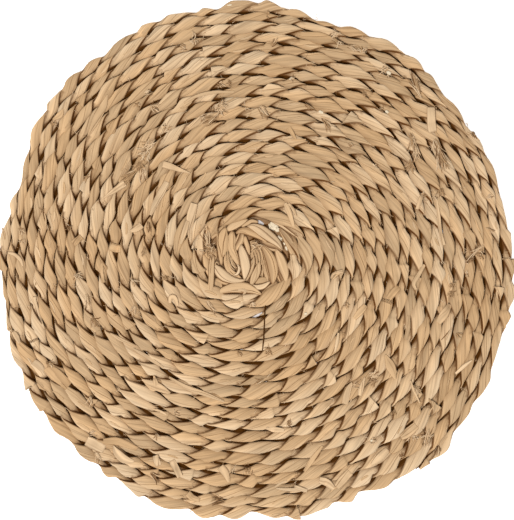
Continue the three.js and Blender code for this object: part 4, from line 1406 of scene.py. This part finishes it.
class TRIVET_OT_eye(bpy.types.Operator):
    """Lay the folded start of the rope into the eye"""

    bl_idname = "trivet.eye"
    bl_label = "Eye"

    SHADE_OUTLINE = 0.3 * MM  # how far a dark strip of painted shadow under each strip shows past its edges, as an outline
    SECTIONS = 4.2  # sections of a strip for each of its rows
    END_THICK, MORE_THICK = 0.55, 0.45  # share of its thickness at a strip's ends, and how much more between
    END_DROP = 0.9 * MM
    LEAST_WIDTH, FULLNESS = 0.5 * MM, 1.14

    def execute(self, context):
        heap = LeafHeap(context.scene.rope_sizes.seed + 1)
        for crown, thick, tone, warmth, path in EYE_LEAVES:
            line = spline(placed(path, METRES_PER_PIXEL), int(2 + self.SECTIONS * len(path)))
            arch = np.sin(np.pi * np.linspace(0, 1, len(line))) ** 0.5
            half_thick = thick / 2 * MM * (self.END_THICK + self.MORE_THICK * arch)
            height = crown * MM - half_thick - self.END_DROP * (1 - arch)
            middle = np.column_stack([line[:, :2], height])
            half_width = np.maximum(line[:, 2], self.LEAST_WIDTH) / 2 * self.FULLNESS
            # Under each strip a wider dark strip, a painted shadow that shows as a dark outline. The strip
            # itself has painted shade along its leaf edge, its sides and its underside.
            below = middle - (0, 0, self.SHADE_OUTLINE)
            heap.tube(below, half_width + self.SHADE_OUTLINE, half_thick, 0.0, 0.8, stain_and_shade=0.8)
            heap.tube(middle, half_width, half_thick, tone + 0.15, warmth, squareness=3.4, line=1.0, rim=0.6,
                      low_from=0.4)
        for width, tone, path in EYE_FIBRES:
            heap.fibre(spline(placed(path, MM), 12), width * METRES_PER_PIXEL, tone, 0.6)
        heap.build("eye_leaves", leaf_material(context.scene.leaf_colours))
        return {"FINISHED"}


class TRIVET_OT_loose_leaves(bpy.types.Operator):
    """Lay loose strips, stubs and flaps of leaf on the coil"""

    bl_idname = "trivet.loose_leaves"
    bl_label = "Loose leaves"

    SECTIONS = 6  # sections of a strip for each of its rows
    LEAST_WIDTH = 0.4 * MM
    THICK = 0.5 * MM

    def execute(self, context):
        heap = LeafHeap(context.scene.rope_sizes.seed + 3)
        top = RopeTop(context)
        for tone, warmth, path in LOOSE_LEAVES:
            line = spline(placed(path, METRES_PER_PIXEL, MM), self.SECTIONS * len(path))
            line[:, 2] = np.maximum(line[:, 2], self.LEAST_WIDTH)
            heap.lay_strip(top, line, tone, warmth, self.THICK)
        heap.build("loose_leaves", leaf_material(context.scene.leaf_colours))
        return {"FINISHED"}


class TRIVET_OT_lining(bpy.types.Operator):
    """Leave white flakes of the stalk's lining in the gaps"""

    bl_idname = "trivet.lining"
    bl_label = "White lining"

    SECTIONS = 12
    THICK = 0.3 * MM

    def execute(self, context):
        heap = LeafHeap(context.scene.rope_sizes.seed + 7)
        top = RopeTop(context)
        for path in LINING:
            line = spline(placed(path, METRES_PER_PIXEL, MM), self.SECTIONS)
            heap.lay_strip(top, line, 1.0, 0.5, self.THICK)
        heap.build("lining", fibre_material("lining", context.scene.leaf_colours.lining))
        return {"FINISHED"}


class TRIVET_OT_frays(bpy.types.Operator):
    """Fray the leaf where the plies cross, and in the worn places"""

    bl_idname = "trivet.frays"
    bl_label = "Frays"

    LEAN = 32  # how far a ply turns outwards as it crosses over, in degrees

    # Fibres at the crossings: stage, place across the rope and share of the crossings that have some.
    CROSSINGS = ((0.9, 0.75, 0.6), (2.8, -0.7, 0.5))
    CROSSING_LOOKS = ["brown", "brown", "pale", "gold"]
    CROSSING_FAN = 32  # in degrees

    # Slivers on top of the lenses.
    SLIVER_STAGE, SLIVER_SHARE = 3.4, 0.22
    SLIVER_ROWS = 8
    SLIVER_BEND = 14  # in degrees, either way
    SLIVER_THICK = 0.3 * MM

    # Fibres of a frayed place. Widths and heights are in millimetres.
    DARK_WIDTHS, WIDTHS = (0.45, 0.9), (0.38, 0.8)
    RISES = (0.3, 1.3)
    REACHES = (0.6, 1.3)  # shares of the frayed place's length
    OWN_LOOK = 0.75  # share of the fibres that have the frayed place's own look
    LEAST_CURL, FAN_CURL, MOST_CURL = 25, 1.3, 110

    def execute(self, context):
        sizes = context.scene.rope_sizes
        maker = RopeMaker(sizes)
        heap = LeafHeap(sizes.seed + 4)
        top = RopeTop(context, ("rope_turns", "eye_leaves"))
        self.crossings(heap, top, maker)
        self.slivers(heap, top, maker)
        self.tufts(heap, top)
        heap.build("frays", leaf_material(context.scene.leaf_colours))
        return {"FINISHED"}

    def places(self, maker, ply, stage, across):
        """Each place where the ply is at that stage, with the way that it runs there, in degrees."""
        laps = (maker.stage + 2 * ply - stage) / 4
        turn = maker.turn[np.flatnonzero(np.diff(np.floor(laps)) > 0)]
        turn = turn[turn > maker.EYE_TURN]
        return zip(maker.coil.place(turn, across), maker.coil.bearing(turn) - 90 + self.LEAN)

    def crossings(self, heap, top, maker):
        """Short fibres where one ply goes under the other."""
        rng = heap.rng
        for ply in range(2):
            for stage, across, share in self.CROSSINGS:
                for place, way in self.places(maker, ply, stage, across):
                    if rng.uniform() > share:
                        continue
                    for _ in range(rng.integers(1, 5)):
                        start = place + rng.normal(0, 0.7 * MM, 2)
                        bearing = way + rng.normal(0, self.CROSSING_FAN)
                        length = rng.uniform(1.0, 3.2) * MM
                        width = rng.uniform(0.2, 0.4) * MM
                        rise = rng.uniform(0, 0.3) * MM
                        look = rng.choice(self.CROSSING_LOOKS)
                        heap.lay_fibre(top, start, bearing, length, width, rise, look)

    def slivers(self, heap, top, maker):
        """Narrow slivers of leaf that have come loose on top of the lenses."""
        rng = heap.rng
        rows = self.SLIVER_ROWS
        bend = self.SLIVER_BEND * np.linspace(-1, 1, rows)
        taper = np.sin(np.pi * np.linspace(0.1, 0.9, rows)) ** 0.6
        for ply in range(2):
            for place, way in self.places(maker, ply, self.SLIVER_STAGE, 0.0):
                if rng.uniform() > self.SLIVER_SHARE:
                    continue
                length = rng.uniform(5, 10) * MM
                across = np.radians(way - self.LEAN + 90)
                start = place + np.array([np.cos(across), np.sin(across)]) * rng.uniform(-1.5, 1.5) * MM
                turn = np.radians(way - self.LEAN * rng.uniform(0.4, 1.0) + bend)
                steps = np.column_stack([np.cos(turn), np.sin(turn)]) * length / rows
                places = start + np.cumsum(steps, axis=0)
                width = rng.uniform(0.6, 1.5) * MM * taper
                line = np.column_stack([places, width, np.full(rows, rng.uniform(0.0, 0.15) * MM)])
                heap.lay_strip(top, line, rng.uniform(0.3, 1.0), rng.uniform(0.2, 0.9), self.SLIVER_THICK)

    def tufts(self, heap, top):
        """Frayed places: dark fibres below, painted shade in the gaps between the fibres over them, and over
        them those of the place's own look.
        """
        rng = heap.rng
        for x, y, spread, bearing, fan, length, count, look in TUFTS:
            dark = count // 2
            curl = min(self.MOST_CURL, self.LEAST_CURL + self.FAN_CURL * fan)
            for k in range(dark + count):
                below = k < dark
                place = spot(x, y) + rng.normal(0, spread / 2, 2) * METRES_PER_PIXEL
                way = bearing + rng.uniform(-fan, fan)
                reach = length * rng.uniform(*self.REACHES) * METRES_PER_PIXEL
                # The dark fibres below are painted shade between the fibres that lie over them.
                if below:
                    kind = "dark"
                elif rng.uniform() < self.OWN_LOOK:
                    kind = look
                else:
                    kind = rng.choice(["gold", "brown"])
                width = rng.uniform(*(self.DARK_WIDTHS if below else self.WIDTHS)) * MM
                rise = 0.0 if below else rng.uniform(*self.RISES) * MM
                heap.lay_fibre(top, place, way, reach, width, rise, kind, curl)


class TRIVET_OT_thread(bpy.types.Operator):
    """Leave the sewing thread's loose end on the coil"""

    bl_idname = "trivet.thread"
    bl_label = "Thread end"

    SECTIONS = 24

    def execute(self, context):
        sizes = context.scene.rope_sizes
        heap = LeafHeap(sizes.seed + 5)
        top = RopeTop(context)
        line = spline(placed(THREAD_END, MM), self.SECTIONS)
        line[:, 2] += rest_on(top.heights(line[:, :2]))
        half = sizes.thread_width / 2
        heap.tube(line, half, half, 0.0, 0.5, columns=8, step=0.0, squareness=2.0, line=0.0)
        heap.build("thread_end", bpy.data.materials["seam_thread"])
        return {"FINISHED"}


class TRIVET_OT_pith(bpy.types.Operator):
    """Leave crumbs of pale pith where a stalk has broken"""

    bl_idname = "trivet.pith"
    bl_label = "Pith"

    LUMPS, LUMP_HEIGHT = 7, 0.10
    ROUNDNESS = 0.8
    LIFT = 0.2 * MM

    def execute(self, context):
        top = RopeTop(context)
        rng = np.random.default_rng(context.scene.rope_sizes.seed + 6)
        mesh = bmesh.new()
        bmesh.ops.create_icosphere(mesh, subdivisions=3, radius=1.0)
        sphere = np.array([vertex.co[:] for vertex in mesh.verts])
        sides = [[vertex.index for vertex in face.verts] for face in mesh.faces]
        mesh.free()
        points, faces = [], []
        for crumb, (x, y, width, depth, bearing) in enumerate(PITH):
            waves = np.sin(sphere @ rng.uniform(-self.LUMPS, self.LUMPS, (3, 3))).sum(axis=1)
            ball = sphere * (1 + self.LUMP_HEIGHT * waves[:, None])
            ball = np.sign(ball) * np.abs(ball) ** self.ROUNDNESS
            turn = math.radians(bearing)
            long, short = ball[:, 0] * width / 2, ball[:, 1] * depth / 2
            place = spot(x, y)
            crown = top.height(*place) + self.LIFT
            points.append(np.column_stack([
                place[0] + (long * math.cos(turn) - short * math.sin(turn)) * METRES_PER_PIXEL,
                place[1] + (long * math.sin(turn) + short * math.cos(turn)) * METRES_PER_PIXEL,
                crown + ball[:, 2] * min(width, depth) / 3 * METRES_PER_PIXEL,
            ]))
            faces += [[corner + crumb * len(sphere) for corner in side] for side in sides]
        build_object("pith", np.concatenate(points), faces, pith_material(context.scene.leaf_colours))
        return {"FINISHED"}


class TRIVET_OT_stage(bpy.types.Operator):
    """Lay the floor and set the lights and the camera"""

    bl_idname = "trivet.stage"
    bl_label = "Stage"

    WHITE = (1.0, 1.0, 1.0, 1.0)
    FLOOR_HALF = 3.0
    KEY_SIZE = 1.6
    KEY_PLACE = (-0.7, -1.0, 2.6)
    SENSOR = 36.0

    def execute(self, context):
        look = context.scene.stage_look
        self.floor(context, look)
        self.lights(context, look)
        self.camera(context, look)
        return {"FINISHED"}

    def floor(self, context, look):
        half = self.FLOOR_HALF
        mesh = bpy.data.meshes.new("floor")
        corners = [(-half, -half, 0), (half, -half, 0), (half, half, 0), (-half, half, 0)]
        mesh.from_pydata(corners, [], [(0, 1, 2, 3)])
        material, n, shader = new_material("floor")
        n.set(shader, {
            "Base Color": rgba(look.floor),
            "Roughness": 0.9,
            "Emission Color": self.WHITE,
            "Emission Strength": look.floor_glow,
        })
        mesh.materials.append(material)
        floor = bpy.data.objects.new("floor", mesh)
        context.scene.collection.objects.link(floor)
        floor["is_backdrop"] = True

    def lights(self, context, look):
        world = bpy.data.worlds.new("studio")
        world.use_nodes = True
        background = world.node_tree.nodes["Background"]
        background.inputs["Color"].default_value = self.WHITE
        background.inputs["Strength"].default_value = look.sky
        context.scene.world = world
        data = bpy.data.lights.new("key", "AREA")
        data.shape = "DISK"
        data.size = self.KEY_SIZE
        data.energy = look.key
        key = bpy.data.objects.new("key", data)
        key.location = self.KEY_PLACE
        key.rotation_euler = key.location.to_track_quat("Z", "Y").to_euler()
        context.scene.collection.objects.link(key)

    def camera(self, context, look):
        """Looks straight down, so that the solid's top fills the frame as in the photograph."""
        data = bpy.data.cameras.new("camera")
        data.type = "PERSP"
        data.sensor_width = self.SENSOR
        view_height = PHOTO_HEIGHT * METRES_PER_PIXEL
        data.lens = data.sensor_width * (look.camera_height - float(CAD_HIGH[2])) / view_height
        camera = bpy.data.objects.new("camera", data)
        camera.location = (CAD_MIDDLE[0], CAD_MIDDLE[1], look.camera_height)
        context.scene.collection.objects.link(camera)
        context.scene.camera = camera
        context.scene.view_settings.view_transform = "Standard"


class TRIVET_PT_panel(bpy.types.Panel):
    """Lists the steps that build the mat"""

    bl_idname = "TRIVET_PT_panel"
    bl_label = "Trivet mat"
    bl_space_type = "VIEW_3D"
    bl_region_type = "UI"
    bl_category = "Trivet mat"

    def draw(self, context):
        for operator in OPERATORS:
            self.layout.operator(operator.bl_idname)


OPERATORS = (
    TRIVET_OT_stage, TRIVET_OT_rope, TRIVET_OT_seam, TRIVET_OT_eye, TRIVET_OT_loose_leaves, TRIVET_OT_frays,
    TRIVET_OT_thread, TRIVET_OT_pith, TRIVET_OT_lining,
)
GROUPS = (("rope_sizes", RopeSizes), ("leaf_colours", LeafColours), ("stage_look", StageLook))


def register():
    for name, group in GROUPS:
        bpy.utils.register_class(group)
        setattr(bpy.types.Scene, name, PointerProperty(type=group))
    for cls in (*OPERATORS, TRIVET_PT_panel):
        bpy.utils.register_class(cls)


def unregister():
    for cls in (TRIVET_PT_panel, *reversed(OPERATORS)):
        bpy.utils.unregister_class(cls)
    for name, group in reversed(GROUPS):
        delattr(bpy.types.Scene, name)
        bpy.utils.unregister_class(group)


def main():
    register()
    bpy.ops.trivet.stage()
    bpy.ops.trivet.rope()
    bpy.ops.trivet.seam()
    bpy.ops.trivet.eye()
    bpy.ops.trivet.loose_leaves()
    bpy.ops.trivet.frays()
    bpy.ops.trivet.thread()
    bpy.ops.trivet.pith()
    bpy.ops.trivet.lining()


if __name__ == "__main__":
    main()
